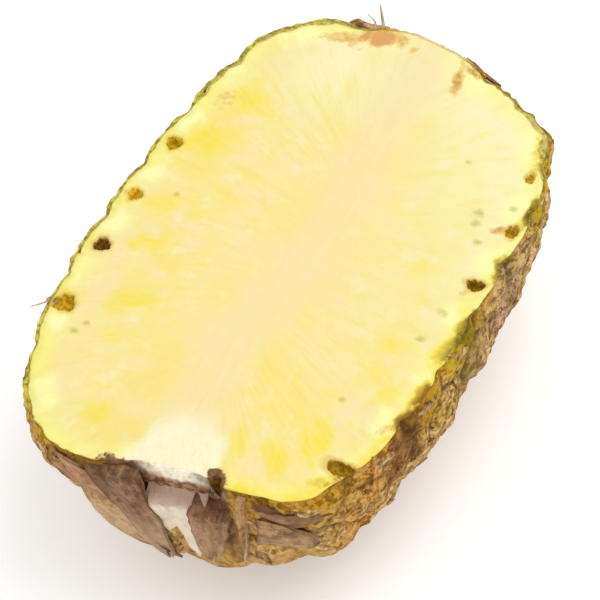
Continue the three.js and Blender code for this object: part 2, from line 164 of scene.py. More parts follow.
# The white pith of the stalk in the cut: its left and right edge, and where it fades upward
PITH = Values(y=(-86, -78, -70, -62), left=(-13, -9.5, -6.5, -3), right=(17.5, 17, 13.5, 8), fade=(58, 73))

# The scars of the stalk and the crown, and the dry scales on them. Each scale runs from one place
# to another on its end: x from the end's middle, z from the axis
Scar = namedtuple("Scar", "x radius edge dish")
STALK_SCAR = Scar(x=-1.2, radius=16, edge=4.5, dish=3.4)
CROWN_SCAR = Scar(x=0.8, radius=14, edge=4, dish=-1.9)
Scale = namedtuple("Scale", "at to bow width thick lift tone")
BRACTS = [
    Scale((-15, -13), (-36, 6), -2, 19, 1.6, 0.9, 0.27),
    Scale((-22, -2), (-9, -36), 4, 14, 2.4, 0.8, 0.68),
    Scale((1, 0), (3, -30), 1, 17, 1.2, 0.5, 1.0),
    Scale((-17, 17), (-5, -34), 2, 15, 3.4, 1.2, 0.47),
    Scale((13, -1), (10, -24), 1.5, 12, 4.6, 1.8, 0.4),
    Scale((22.5, 13), (18, -25), -1, 1.4, 3.6, 0.8, 0.78),
    Scale((21.5, 2), (43, 0), 2, 9, 1.6, 0.6, 0.12),
    Scale((20.5, -9), (41, -14), -3, 15, 2.6, 1.2, 0.62),
]


def spoke(angle, start, length, *shape):
    """A scale that points straight away from the middle of its end."""
    away = (math.cos(math.radians(angle)), math.sin(math.radians(angle)))
    at = tuple(start * a for a in away)
    to = tuple((start + length) * a for a in away)
    return Scale(at, to, 0, *shape)


LEAF_BASES = [
    spoke(176, 12, 20, 16, 2.6, 0.6, 0.55),
    spoke(208, 12, 20, 15, 4.4, 2.0, 0.4),
    spoke(241, 12, 18, 15, 5.0, 2.2, 0.6),
    spoke(274, 12, 17, 14, 4.2, 1.8, 0.35),
    spoke(306, 12, 18, 14, 4.8, 2.0, 0.5),
    spoke(338, 12, 19, 13, 4.4, 1.8, 0.4),
    spoke(366, 9, 15, 8, 4.6, 1.2, 0.3),
]
STALK_END = Values(x=STALK_SCAR.x, shape=STALK_SHAPE, reach=-STALK_REACH - WIDEST_Y, outward=-1)
CROWN_END = Values(x=CROWN_SCAR.x, shape=CROWN_SHAPE, reach=CROWN_REACH - WIDEST_Y, outward=1)
SCALE_ROOT = Values(sunk=4.5, rise_over=0.22, thick=4.5)  # each scale starts deep, then rises out
SCALE_TIP_THICK = 1.0
SCALE_WAVE = 0.7
SCALE_TORN = Values(tip=0.09, side=0.10)
SCALE_STEP = 40  # parts the patterns of one scale from the next
SCALE_TRIM = Values(below_cut=0.45, layer_gap=0.06)

# The papery bract on each eye. A pair is a size and how far it is drawn up or down from it
EYE_BRACT = Values(length=(7.6, 1.6), half=(3.0, 0.8), skew=0.9, root=-4.4, lift=(0.25, 0.3))
EYE_BRACT_TRIM = 0.1
EYE_ABOVE_CUT = 2  # an eye whose middle is higher above the cut than this has no bract
SCAR_CLEARANCE = 7

# Dry wisps: a path in x, y and z from the cut, and their radius where they start and end
STRANDS = [
    ([(-54.5, -42.6, -1.0), (-57.2, -43.0, -0.9), (-59.5, -45.6, -0.8), (-61.6, -47.0, -1.2)], 0.45, 0.12),
    ([(-55.6, -42.4, -1.0), (-57.3, -42.2, -1.1), (-58.6, -42.6, -1.6)], 1.5, 0.7),
    ([(-13.2, 86.0, -1.0), (-14.6, 89.0, -0.5), (-16.8, 92.6, 0.4), (-18.6, 95.4, 0.8)], 0.75, 0.25),
    ([(-15.5, 86.0, -1.0), (-17.6, 89.4, -0.2), (-20.6, 90.8, 0.6)], 0.5, 0.15),
    ([(-8.0, 86.5, -1.2), (-6.0, 88.6, -1.0), (-3.4, 89.4, -0.6)], 0.45, 0.15),
    ([(19.0, 79.0, -1.4), (24.0, 79.4, -1.0), (29.2, 77.6, -0.6)], 1.1, 0.2),
]
STRAND_SIDES = 7
STRAND_FLATNESS = 0.6

# How finely the pieces are split
RIND_STEPS = Values(along=330, down=122, inside=8)
FLESH_STEPS = Values(along=450, out=94, down=10)
RIND_THICK = 0.7
RIND_BELOW = Values(thicker=1.0, from_depth=0.5, to_depth=12)
FLESH_EDGE = 0.8 * RIND_THICK  # the flesh ends this far in from the rind's outer face
FLESH_SUNK = 0.15  # the cut face lies this far below the rind's edge
FLESH_BELOW = Values(gap=1.8, keel_gap=0.9)
FLESH_ROW_POWER = 0.92  # below 1, the rows of the cut face are closer together at the rim
SPINE_SHARE = 0.5
FARTHEST = 160
STEP_BACK = 12
MOST_EYES = 1000
END_ROUND = 0.985  # the rounding of an end is followed out to this share of the radius
HALVINGS = 26
PROFILE_SAMPLES = 601
RIM_SAMPLES = 1501
BATCH = 20000


def ramp(x, low, high):
    """Runs softly from 0 to 1 as x goes from low to high."""
    t = np.clip((x - low) / (high - low), 0, 1)
    return t * t * (3 - 2 * t)


def lerp(a, b, t):
    return a + (b - a) * t


def unit(v):
    return v / np.linalg.norm(v, axis=-1, keepdims=True)


def draw(seed):
    """A repeatable draw between -1 and 1 for each whole number."""
    wave = math.sin(seed * 127.1 + 311.7) * 43758.5453
    return (wave - math.floor(wave)) * 2 - 1


def vary(size, seed):
    """A size drawn up or down from its middle: the middle, and how far."""
    return size[0] + size[1] * draw(seed)


def scatter(whole, seed):
    """A repeatable draw between 0 and 1 for each row of whole numbers."""
    x, y, z = (whole[..., i].astype(np.uint64) for i in range(3))
    h = x * np.uint64(374761393) + y * np.uint64(668265263) + z * np.uint64(2246822519)
    h = (h + np.uint64(seed) * np.uint64(974634777)) & np.uint64(0xFFFFFFFF)
    h = ((h ^ (h >> np.uint64(13))) * np.uint64(1274126177)) & np.uint64(0xFFFFFFFF)
    return ((h ^ (h >> np.uint64(16))) & np.uint64(0xFFFF)).astype(float) / 65535


def noise(points, size, seed):
    """Smooth noise from -1 to 1 with lumps of about that size."""
    q = np.asarray(points, float) / size + 1000
    base = np.floor(q).astype(np.int64)
    f = q - base
    f = f * f * (3 - 2 * f)
    total = np.zeros(len(q))
    for corner in np.ndindex(2, 2, 2):
        weight = np.prod(np.where(np.array(corner) == 1, f, 1 - f), axis=1)
        total += weight * scatter(base + np.array(corner), seed)
    return 2 * total - 1


def columns_of(*columns):
    """Points from their columns. A plain number fills its whole column."""
    return np.stack(np.broadcast_arrays(*columns), axis=1).astype(float)


# The smooth body of the fruit


def swell(y):
    crown = CROWN_BOW.x * np.exp(-(((y - CROWN_BOW.y) / CROWN_BOW.spread) ** 2))
    stalk = STALK_BOW.x * (np.maximum(STALK_BOW.from_y - y, 0) / STALK_BOW.over) ** 2
    return AXIS_X + crown + stalk


def lean(x, y):
    crown = CROWN_LEAN.share * np.clip((y - CROWN_LEAN.from_y) / CROWN_LEAN.over, 0, 1)
    stalk = STALK_LEAN.share * np.clip((STALK_LEAN.from_y - y) / STALK_LEAN.over, 0, 1)
    return x * (crown - stalk)


def tuck(y, z):
    near_end = ramp(TUCK.from_y - y, 0, TUCK.over)
    return TUCK.y * near_end * ramp(CUT_Z - z - TUCK.from_z, 0, TUCK.over_z)


def straighten(p):
    y = p[..., 1] + lean(p[..., 0], p[..., 1]) - tuck(p[..., 1], p[..., 2])
    return np.stack([p[..., 0] - swell(y), y, p[..., 2] - AXIS_HEIGHT], axis=-1)


def bend(p):
    x, z = p[..., 0] + swell(p[..., 1]), p[..., 2] + AXIS_HEIGHT
    return np.stack([x, p[..., 1] - lean(x, p[..., 1]) + tuck(p[..., 1], z), z], axis=-1)


def profile(y, radius):
    """Below zero inside the straight fruit, above zero outside."""
    by_stalk = y < WIDEST_Y
    t = np.abs(y - WIDEST_Y) / np.where(by_stalk, STALK_REACH + WIDEST_Y, CROWN_REACH - WIDEST_Y)
    along, across = (np.where(by_stalk, *pair) for pair in zip(STALK_SHAPE, CROWN_SHAPE))
    return (radius / BODY_RADIUS) ** across + t ** along - 1


def last_inside(is_inside, count):
    inside = np.zeros(count)
    outside = np.full(count, float(FARTHEST))
    for _ in range(HALVINGS):
        middle = (inside + outside) / 2
        hit = is_inside(middle)
        inside = np.where(hit, middle, inside)
        outside = np.where(hit, outside, middle)
    return inside


def reach_out(start, direction):
    """How far each ray goes before it leaves the smooth body."""

    def is_inside(distance):
        p = straighten(start + direction * distance[:, None])
        return profile(p[:, 1], np.hypot(p[:, 0], p[:, 2])) < 0

    return last_inside(is_inside, len(start))


# The eyes


def lay_eyes():
    """Every eye's middle on the body, and its own directions, onward to the crown."""
    angle = np.linspace(-math.pi / 2, math.pi / 2, PROFILE_SAMPLES)
    dy, dr = np.sin(angle), np.cos(angle)
    reach = last_inside(lambda d: profile(WIDEST_Y + d * dy, np.maximum(d * dr, 0)) < 0, len(angle))
    y, radius = WIDEST_Y + reach * dy, np.maximum(reach * dr, 0)
    shrink = 1 - EYE_SHRINK.share * ramp(y, EYE_SHRINK.from_y, CROWN_REACH)
    area = 2 * math.pi * BODY_RADIUS * EYE.pitch / EYE.columns * shrink
    strip = math.pi * (radius[1:] + radius[:-1]) * np.hypot(np.diff(y), np.diff(radius))
    count = np.concatenate([[0], np.cumsum(strip / area[1:])])
    first = count[np.argmax(y >= EYE.phase_y)]
    n = np.arange(-math.floor(first), MOST_EYES)
    n = n[n + first < count[-1] - 1]
    turn = math.pi - math.asin(EYE.above_axis / BODY_RADIUS)
    turn = turn + n * EYE.turn_steps * 2 * math.pi / EYE.columns
    radial = np.stack([np.cos(turn), np.zeros(len(n)), np.sin(turn)], axis=1)
    jitter = EYE.jitter * np.array([draw(int(i)) for i in n])

    def place(at):
        straight = radial * np.interp(at, count, radius)[:, None]
        straight[:, 1] = np.interp(at, count, y) + jitter
        return bend(straight)

    middle = place(n + first)
    onward = unit(place(n + first + 0.5) - middle)
    across = unit(np.cross(radial, onward))
    return Values(middle=middle, onward=onward, across=across, outward=np.cross(onward, across), n=n)


EYES = lay_eyes()


def near_eyes(points):
    """The nearest eye to each point, and how far the point is inside that eye's border."""
    nearest, border = np.zeros(len(points), int), np.zeros(len(points))
    for start in range(0, len(points), BATCH):
        part = slice(start, start + BATCH)
        away = np.linalg.norm(points[part, None, :] - EYES.middle[None], axis=2)
        nearest[part] = np.argmin(away, axis=1)
        closest = np.partition(away, 1, axis=1)
        border[part] = (closest[:, 1] - closest[:, 0]) / 2
    return nearest, border


def describe(points):
    """Where points of the smooth body lie on their eyes, and how far outside the scars."""
    eye, border = near_eyes(points)
    offset = points - EYES.middle[eye]
    p = straighten(points)
    at_stalk = p[:, 1] < 0
    end_x, radius, edge, dish = (np.where(at_stalk, *pair) for pair in zip(STALK_SCAR, CROWN_SCAR))
    away = np.hypot(p[:, 0] - end_x, p[:, 2])
    return Values(
        eye=eye,
        u=np.einsum("ij,ij->i", offset, EYES.across[eye]),
        v=np.einsum("ij,ij->i", offset, EYES.onward[eye]),
        border=border,
        outside=ramp(away, radius - edge, radius + edge),
        dish=dish,
        at_stalk=at_stalk,
    )


def relief(points, d):
    """How far the rind stands out of the smooth body, as the solid has it."""
    pillow = ramp(2 * d.border / EYE.pitch, 0, EYE_PILLOW.groove_share)
    tip = np.exp(-((d.u / EYE_TIP.across) ** 2) - ((d.v - EYE_TIP.ahead) / EYE_TIP.along) ** 2)
    rind = (EYE_PILLOW.rise + EYE_PILLOW.groove) * pillow - EYE_PILLOW.groove + EYE_TIP.rise * tip
    return lerp(-d.dish, rind, d.outside) + bulge(points)


def bulge(points):
    total = np.zeros(len(points))
    for x, y, z, rise, spread in BULGES:
        away = np.linalg.norm(points - [x, y, CUT_Z + z], axis=1)
        total += rise * np.exp(-((away / spread) ** 2))
    return total


def bell(x, wide):
    return np.exp(-((x / wide) ** 2))


def roughness_of_rind(points, d):
    """The small forms on the rind: cracked grooves, three sepals in each eye, a lip, and grain."""
    u, v, border = d.u, d.v, d.border
    r, angle = np.hypot(u, v), np.arctan2(u, v)
    crack = -CRACK.deep * bell(border, CRACK.wide)
    sepals = SEPALS.rise * np.cos(SEPALS.count * angle) * bell(r - SEPALS.radius, SEPALS.wide)
    lip = LIP.rise * bell(v + LIP.behind + LIP.bow * u ** 2, LIP.wide)
    lip *= ramp(border, 0.8, 2.5)
    stray = SWIRLS.stray * noise(points, SWIRLS.stray_size, 11)
    swirl = SWIRLS.rise * np.sin(SWIRLS.count * angle + stray)
    swirl *= ramp(r, 3, 6) * ramp(border, 0, 2)
    grain = sum(rise * noise(points, size, seed) for rise, size, seed in GRAIN)
    fibres = SCAR_FIBRES.rise * noise(points * np.array(SCAR_FIBRES.squeeze), SCAR_FIBRES.size, 6)
    on_scar = SCAR_FIBRES.grain_share * grain + fibres
    return lerp(on_scar, crack + sepals + lip + swirl + grain, d.outside)


def open_cavities(points):
    """Lowers the points over an opened cavity to its floor."""
    for c in CAVITIES:
        away = np.hypot((points[:, 0] - c.x) / c.across, (points[:, 1] - c.y) / c.along)
        floor = CUT_Z - c.deep * np.sqrt(np.clip(1 - away ** 2, 0, 1))
        points[:, 2] = np.where(away < 1, np.minimum(points[:, 2], floor), points[:, 2])


# The grid of rays that both the rind and the flesh are laid on


def rim(side, steps):
    """The smooth body's outline in the cut on one side, from the stalk to the crown end."""
    angle = np.linspace(0, math.pi, RIM_SAMPLES)
    direction = columns_of(side * np.sin(angle), -np.cos(angle), 0)
    start = np.tile([0.0, 0.0, CUT_Z], (RIM_SAMPLES, 1))
    points = start + direction * reach_out(start, direction)[:, None]
    along = length_along(points)
    at = np.linspace(0, along[-1], steps + 1)
    return np.stack([np.interp(at, along, points[:, i]) for i in range(3)], axis=1)


def length_along(points):
    return np.concatenate([[0], np.cumsum(np.linalg.norm(np.diff(points, axis=0), axis=1))])


def rim_and_spine(along):
    """The rim on both sides, and the line in the cut that all rays start from."""
    right, left = rim(1, along), rim(-1, along)
    spine = columns_of(0, SPINE_SHARE * (right[:, 1] + left[:, 1]) / 2, CUT_Z)
    return right, left, spine


def ray_fan(along, down):
    """Starts and directions of rays for a grid: along the fruit, then from the +X rim under the
    keel to the -X rim."""
    right, left, spine = rim_and_spine(along)
    tilt = np.linspace(0, math.pi, 2 * down + 1)
    to_right = (tilt <= math.pi / 2)[None, :, None]
    level = np.where(to_right, unit(right - spine)[:, None], unit(left - spine)[:, None])
    ray = level * np.abs(np.cos(tilt))[None, :, None]
    ray[..., 2] -= np.sin(tilt)[None, :]
    start = np.broadcast_to(spine[:, None], ray.shape)
    return start.reshape(-1, 3).copy(), unit(ray.reshape(-1, 3))


def folded_index(along, down):
    """The grid's vertex numbers with its two ends folded together, and which rays are kept."""
    width = 2 * down + 1
    index = np.arange((along + 1) * width).reshape(along + 1, width)
    for end in (0, along):
        index[end] = np.minimum(index[end], index[end][::-1])
    kept = np.unique(index)
    renumber = np.full((along + 1) * width, -1)
    renumber[kept] = np.arange(len(kept))
    return renumber[index], kept


def grid_quads(index):
    a, b, c, d = index[:-1, :-1], index[1:, :-1], index[1:, 1:], index[:-1, 1:]
    return np.stack([a, b, c, d], axis=-1).reshape(-1, 4)


# The meshes


def add_object(name, data):
    thing = bpy.data.objects.new(name, data)
    bpy.context.collection.objects.link(thing)
    return thing


def add_piece(name, vertices, quads, attributes, material):
    """A smooth-shaded mesh from points in the fruit's frame, with values at its vertices. A quad
    with a repeated corner becomes a triangle."""
    faces = [list(dict.fromkeys(quad)) for quad in quads.tolist()]
    faces = sorted((face for face in faces if len(face) > 2), key=len, reverse=True)
    mesh = bpy.data.meshes.new(name)
    mesh.from_pydata(((vertices - MIDDLE) * MM).tolist(), [], faces)
    mesh.validate()
    mesh.shade_smooth()
    for key, values in attributes.items():
        values = np.asarray(values, np.float32)
        kind, field = ("FLOAT", "value") if values.ndim == 1 else ("FLOAT_VECTOR", "vector")
        mesh.attributes.new(key, kind, "POINT").data.foreach_set(field, values.ravel())
    mesh.materials.append(material)
    piece = add_object(name, mesh)
    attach(piece, "root")
    return piece


def trim(piece, height, layer_gap=0.0):
    """Cuts away what stands above a height, and closes the cut. Each further scale then lies a
    little lower, so that no two cut faces share a place."""
    mesh = bmesh.new()
    mesh.from_mesh(piece.data)
    parts = mesh.verts[:] + mesh.edges[:] + mesh.faces[:]
    level = (0, 0, height * MM)
    bmesh.ops.bisect_plane(mesh, geom=parts, dist=1e-7, plane_co=level, plane_no=(0, 0, 1), clear_outer=True)
    open_edges = [edge for edge in mesh.edges if edge.is_boundary]
    bmesh.ops.holes_fill(mesh, edges=open_edges, sides=0)
    mesh.to_mesh(piece.data)
    mesh.free()
    count = len(piece.data.vertices)
    places, at = np.zeros(3 * count, np.float32), np.zeros(3 * count, np.float32)
    piece.data.vertices.foreach_get("co", places)
    piece.data.attributes["scale_at"].data.foreach_get("vector", at)
    places[2::3] -= at[2::3] / SCALE_STEP * layer_gap * MM
    piece.data.vertices.foreach_set("co", places)
    piece.data.update()


# Materials. A shade is a colour with parts from 0 to 255, or one that was mixed before


def linear(shade):
    """A shade as linear light."""
    if not isinstance(shade, tuple):
        return shade
    share = [c / 255 for c in shade]
    return tuple(c / 12.92 if c <= 0.04045 else ((c + 0.055) / 1.055) ** 2.4 for c in share) + (1.0,)


class Shader:
    """A material that is built up in coats of colour and layers of relief."""

    def __init__(self, name):
        self.material = bpy.data.materials.new(name)
        self.material.use_nodes = True
        self.tree = self.material.node_tree
        self.surface = self.tree.nodes["Principled BSDF"]
        self.place = self.node("TexCoord")["Object"]
        self.color = None
        self.normal = None

    def node(self, kind, inputs=None, **settings):
        node = self.tree.nodes.new("ShaderNode" + kind)
        for key, setting in settings.items():
            setattr(node, key, setting)
        for key, value in (inputs or {}).items():
            self.put(node.inputs[key], value)
        return node.outputs

    def put(self, socket, value):
        if isinstance(value, bpy.types.NodeSocket):
            self.tree.links.new(value, socket)
        else:
            socket.default_value = value

    def at(self, name, output="Fac"):
        """The value or vector that the mesh carries under that name."""
        return self.node("Attribute", attribute_name=name)[output]

    def noise(self, vector, scale, detail=3, rough=0.55):
        inputs = {"Vector": vector, "Scale": scale, "Detail": detail, "Roughness": rough}
        return self.node("TexNoise", inputs)["Fac"]

    def stretch(self, vector, scale):
        return self.node("Mapping", {"Vector": vector, "Scale": scale})["Vector"]

    def streaks(self, vector, scale, detail=3, rough=0.55):
        return self.noise(self.stretch(vector, scale), 1.0, detail, rough)

    def cell_draw(self, vector, scale):
        """A random value in each cell."""
        color = self.node("TexVoronoi", {"Vector": vector, "Scale": scale})["Color"]
        return self.node("SeparateColor", {"Color": color})["Red"]

    def wobble(self, vector, scale, reach):
        """The same place, moved about by noise."""
        moved = self.node("TexNoise", {"Vector": vector, "Scale": scale})["Color"]
        inputs = {0: moved, 1: (reach, reach, reach), 2: vector}
        return self.node("VectorMath", inputs, operation="MULTIPLY_ADD")[0]

    def share(self, given):
        """A value, the name of one that the mesh carries, or either of them with its span."""
        if isinstance(given, tuple):
            return self.span(self.share(given[0]), *given[1:])
        return self.at(given) if isinstance(given, str) else given

    def combine(self, operation, shares):
        values = [self.share(share) for share in shares]
        total = values[0]
        for value in values[1:]:
            total = self.node("Math", {0: total, 1: value}, operation=operation)[0]
        return total

    def times(self, *shares):
        return self.combine("MULTIPLY", shares)

    def plus(self, *shares):
        return self.combine("ADD", shares)

    def span(self, value, low, high, out_low=0.0, out_high=1.0):
        """Runs softly from one output to the other as the value goes from low to high."""
        inputs = {"Value": value, "From Min": low, "From Max": high, "To Min": out_low, "To Max": out_high}
        return self.node("MapRange", inputs, interpolation_type="SMOOTHSTEP")["Result"]

    def mix(self, share, a, b):
        inputs = {0: self.share(share), 6: linear(a), 7: linear(b)}
        return self.node("Mix", inputs, data_type="RGBA")[2]

    def coat(self, shade, *shares):
        """Lays a shade over the colour so far, as far as the product of the shares says."""
        self.color = self.mix(self.times(*shares), self.color, shade)

    def bump(self, height, strength, distance_mm):
        inputs = {"Height": height, "Strength": strength, "Distance": distance_mm * MM}
        if self.normal is not None:
            inputs["Normal"] = self.normal
        self.normal = self.node("Bump", inputs)["Normal"]

    def finish(self, roughness, specular):
        self.set("Base Color", self.color)
        self.set("Roughness", roughness)
        self.set("Specular IOR Level", specular)
        if self.normal is not None:
            self.set("Normal", self.normal)
        return self.material

    def set(self, name, value):
        self.put(self.surface.inputs[name], value)


def flesh_material():
    """Juicy yellow flesh with riper patches, a pinkish cream core and white stalk pith."""
    s = Shader("pineapple_flesh")
    fibre = s.at("fibre", "Vector")
    edge, core, pit, pit_tone = (s.at(name) for name in ("edge", "core", "pit", "pit_tone"))
    blotch = s.noise(s.place, 95, 3, 0.5)
    patches = s.noise(s.place, 160, 2, 0.5)
    drift = s.noise(s.place, 34, 2, 0.5)
    fleck = s.noise(s.place, 520, 4, 0.65)
    grit = s.noise(s.place, 800, 3)
    strand = s.streaks(fibre, (1.1, 0.16, 1))
    fine = s.streaks(fibre, (3.2, 0.25, 1), 2, 0.6)
    wide = s.streaks(fibre, (0.24, 0.10, 1))

    # yellow and cream, in fibres that run out to the rim
    fibrous = s.span(s.plus(core, (edge, 30, 12)), 0.9, 3.0, 0.25, 1.0)
    s.color = s.mix((drift, 0.38, 0.62), (237, 219, 127), (238, 222, 151))
    s.coat((239, 220, 165), (blotch, 0.48, 0.66, 0, 0.8))
    s.coat((242, 230, 182), (patches, 0.56, 0.72, 0, 0.5))
    s.coat((237, 217, 106), fibrous, (wide, 0.50, 0.34, 0, 0.5))
    s.coat((244, 235, 180), fibrous, (strand, 0.54, 0.74, 0, 0.12))
    s.coat((235, 213, 106), fibrous, (strand, 0.46, 0.28, 0, 0.14))
    s.coat((242, 233, 187), "pale", (wide, 0.3, 0.55, 0.5, 0.95))
    s.coat((240, 217, 62), "ripe", (strand, 0.3, 0.6, 1.0, 0.6))

    # brighter by the rim, and palest between two cavities
    s.coat((242, 235, 132), (edge, 9, 2), (wide, 0.3, 0.6, 0.3, 0.8))
    lens = s.times((edge, 11, 5), ("cell", 0.7, 0.2))
    s.coat((243, 241, 168), lens, (blotch, 0.38, 0.56, 0.15, 1.0))
    s.coat((238, 216, 66), "rim_yellow", (patches, 0.35, 0.6, 1.0, 0.4))

    # the core with its yellower shoulders, the pith, and the specks
    s.coat((237, 217, 138), (core, 0.6, 1.4), (core, 2.6, 1.5), 0.3)
    heart = s.mix((s.streaks(s.place, (520, 50, 300)), 0.3, 0.7), (236, 216, 160), (237, 219, 167))
    s.coat(heart, (core, 1.5, 0.3, 0, 0.8))
    s.coat(s.mix((fine, 0.4, 0.6), (244, 238, 206), (240, 231, 182)), "pith")
    s.coat((178, 164, 40), "speck", (s.noise(s.place, 420, 2), 0.3, 0.55, 0.45, 1.0), 0.6)

    def stain(name, stray):
        return s.plus(name, (fleck, 0.35, 0.65, stray, -stray))

    # olive stains, more golden by the stalk and deepest at the rim
    olive, stalkward = stain("olive", 0.13), s.at("stalkward")
    gold = s.mix((fleck, 0.4, 0.6), (212, 182, 46), (158, 128, 12))
    gold = s.mix(stalkward, gold, s.mix((fleck, 0.4, 0.6), (222, 180, 36), (180, 128, 6)))
    deep_olive = s.mix((fleck, 0.42, 0.6), (148, 126, 12), (104, 84, 0))
    deep_olive = s.mix(stalkward, deep_olive, (140, 92, 0))
    s.coat((236, 214, 78), (olive, 0.14, 0.55, 0, 0.75))
    s.coat(gold, (olive, 0.36, 0.9, 0, 0.9))
    s.coat(deep_olive, (olive, 0.4, 0.9), (edge, 3.8, 0.3))

    # the greenish glow and the olive line at the rim
    s.coat((224, 214, 98), "glow", (fleck, 0.3, 0.6, 1.0, 0.6))
    olive_line = s.mix((fleck, 0.42, 0.58), (136, 122, 36), (196, 182, 76))
    olive_line = s.mix((patches, 0.54, 0.64, 0, 0.6), olive_line, (184, 142, 96))
    s.coat(olive_line, ("skin", 0.3, 0.8, 0, 0.85))

    # rust and brown stains
    rust, brown = stain("rust", 0.16), stain("brown", 0.22)
    deep_rust = s.mix((blotch, 0.45, 0.58), (210, 148, 88), (190, 140, 60))
    deep_brown = s.mix((fleck, 0.42, 0.58), (84, 44, 16), (130, 82, 38))
    s.coat((226, 188, 100), (rust, 0.18, 0.5, 0, 0.7))
    s.coat(deep_rust, (rust, 0.5, 0.95, 0, 0.85))
    s.coat((196, 158, 100), (brown, 0.24, 0.5, 0, 0.6))
    s.coat(deep_brown, (brown, 0.36, 0.7, 0, 0.92))

    # the opened cavities, from dark to golden by their tone, with a faint halo
    dark = s.mix(pit_tone, (76, 42, 2), (184, 140, 10))
    light = s.mix(pit_tone, (112, 68, 12), (228, 192, 56))
    halo = s.mix(pit_tone, (216, 178, 102), (226, 194, 72))
    halo_share = s.span(s.plus(pit, s.times(blotch, 0.8)), 2.1, 1.45, 0, 0.75)
    s.coat(halo, halo_share, ("brown", 0.1, 0.5, 1.0, 0.0))
    s.coat(s.mix((grit, 0.38, 0.62), dark, light), (s.plus(pit, s.times(grit, 0.4)), 1.34, 1.12))

    # wet flesh, dry in the cavities
    s.bump(s.plus(s.times(strand, 0.7), s.times(fine, 0.3)), 0.16, 0.4)
    s.bump(s.noise(s.place, 600, 3), 0.12, 0.3)
    s.set("Subsurface Weight", s.span(pit, 0.9, 1.3, 0.0, 0.1))
    s.set("Subsurface Radius", (1.0, 0.7, 0.25))
    s.set("Subsurface Scale", 3 * MM)
    return s.finish(s.span(strand, 0.3, 0.7, 0.34, 0.5), s.span(pit, 0.9, 1.3, 0.03, 0.3))


CRUST = Values(cells=0.3, grain=1.1, first=0.42, spread=0.44, soft=0.16)


def mottle(s, shades):
    """Crusty patches, from dark over brown and tan to pale. Gives the crust's height back."""
    cells = s.cell_draw(s.stretch(s.wobble(s.place, 300, 0.004), (1, 0.75, 1)), 560)
    crust = s.plus(s.times(cells, CRUST.cells), s.times(s.noise(s.place, 620, 4, 0.65), CRUST.grain))
    s.color = shades[0]
    for i, shade in enumerate(shades[1:]):
        low = CRUST.first + CRUST.spread * i / (len(shades) - 1)
        s.coat(shade, (crust, low, low + CRUST.soft))
    return crust


def rind_material():
    """Rough crusty rind: brown and tan, golden and olive by the cut, with painted shade in the grooves and
    where it sinks in.
    """
    s = Shader("pineapple_rind")
    below = s.at("below_cut")
    lumps = s.noise(s.place, 90, 4, 0.6)
    clumps = s.noise(s.place, 200, 3, 0.6)
    specks = s.noise(s.place, 420, 4, 0.65)
    crust = mottle(s, [(86, 58, 20), (132, 94, 34), (162, 126, 66), (198, 158, 92), (220, 190, 136)])

    def crusty(low_shade, high_shade):
        return s.mix((crust, 0.5, 0.8), low_shade, high_shade)

    # tan and dark clumps, olive and golden ones by the cut, painted shade in the grooves
    s.coat((176, 132, 100), (clumps, 0.54, 0.66, 0, 0.55))
    s.coat((98, 66, 22), (clumps, 0.44, 0.32, 0, 0.6))
    olive = crusty((110, 88, 0), (184, 154, 14))
    s.coat(olive, ("tone", 0.6, 0.85), (lumps, 0.5, 0.62, 0, 0.6))
    gold = crusty((146, 94, 0), (212, 158, 38))
    s.coat(gold, (below, 11, 1), (clumps, 0.4, 0.58, 0.25, 0.95))
    s.coat(olive, "green", (clumps, 0.34, 0.5, 0.5, 1.0))
    # painted shade: the grooves between the eyes darken, more so farther below the cut
    s.coat((70, 46, 12), ("border", 1.4, 0.1, 0, 0.5), (below, 2, 14, 0.35, 1.0))
    edge_line = s.mix((clumps, 0.42, 0.58), (170, 138, 26), (126, 90, 12))
    s.coat(s.mix((specks, 0.5, 0.7, 0, 0.7), edge_line, (214, 190, 92)), "rim_ring")

    # patches on single eyes, on the +X side and at the stalk end: mauve, dark olive, golden, rusty and dark
    # brown
    broken = s.span(clumps, 0.36, 0.6, 0.95, 0.6)
    s.coat(crusty((124, 86, 58), (206, 164, 132)), "mauve", (clumps, 0.4, 0.56, 0.35, 0.85))
    s.coat((92, 80, 10), "dark_olive", broken)
    s.coat(crusty((128, 86, 0), (182, 132, 26)), "golden")
    s.coat(crusty((124, 68, 8), (200, 142, 70)), "rusty", broken)
    s.coat((88, 44, 20), "dark_brown", broken)
    s.coat((206, 156, 92), "end_tan", (clumps, 0.4, 0.6, 0.2, 0.6))
    # painted shade where the rind sinks below its smooth body
    s.coat((64, 42, 12), ("rise", -0.3, -1.4, 0, 0.6))
    s.coat(s.mix((specks, 0.42, 0.6), (214, 202, 84), (138, 124, 44)), "lime")

    # the scars: torn flesh at the crown, and at the stalk cork under a white edge of pith
    torn_flesh = s.mix((specks, 0.4, 0.65), (236, 222, 168), (212, 184, 126))
    torn_pith = s.mix((specks, 0.46, 0.66), (252, 246, 220), (226, 204, 168))
    cork = s.mix((specks, 0.4, 0.6), (178, 136, 104), (116, 76, 46))
    torn = s.times((s.plus(below, s.times(lumps, 6)), 8.5, 5.5), "by_pith")
    scar = s.mix("at_stalk", torn_flesh, s.mix(torn, cork, torn_pith))
    s.color = s.mix("outside", scar, s.color)
    # painted shade of the dark hollow beside the stalk
    s.coat((86, 42, 18), "hollow_shade", broken)
    s.bump(s.plus(s.times(specks, 0.5), s.times(crust, 0.6)), 0.7, 1.0)
    return s.finish(s.span(specks, 0.3, 0.7, 0.68, 0.9), 0.12)


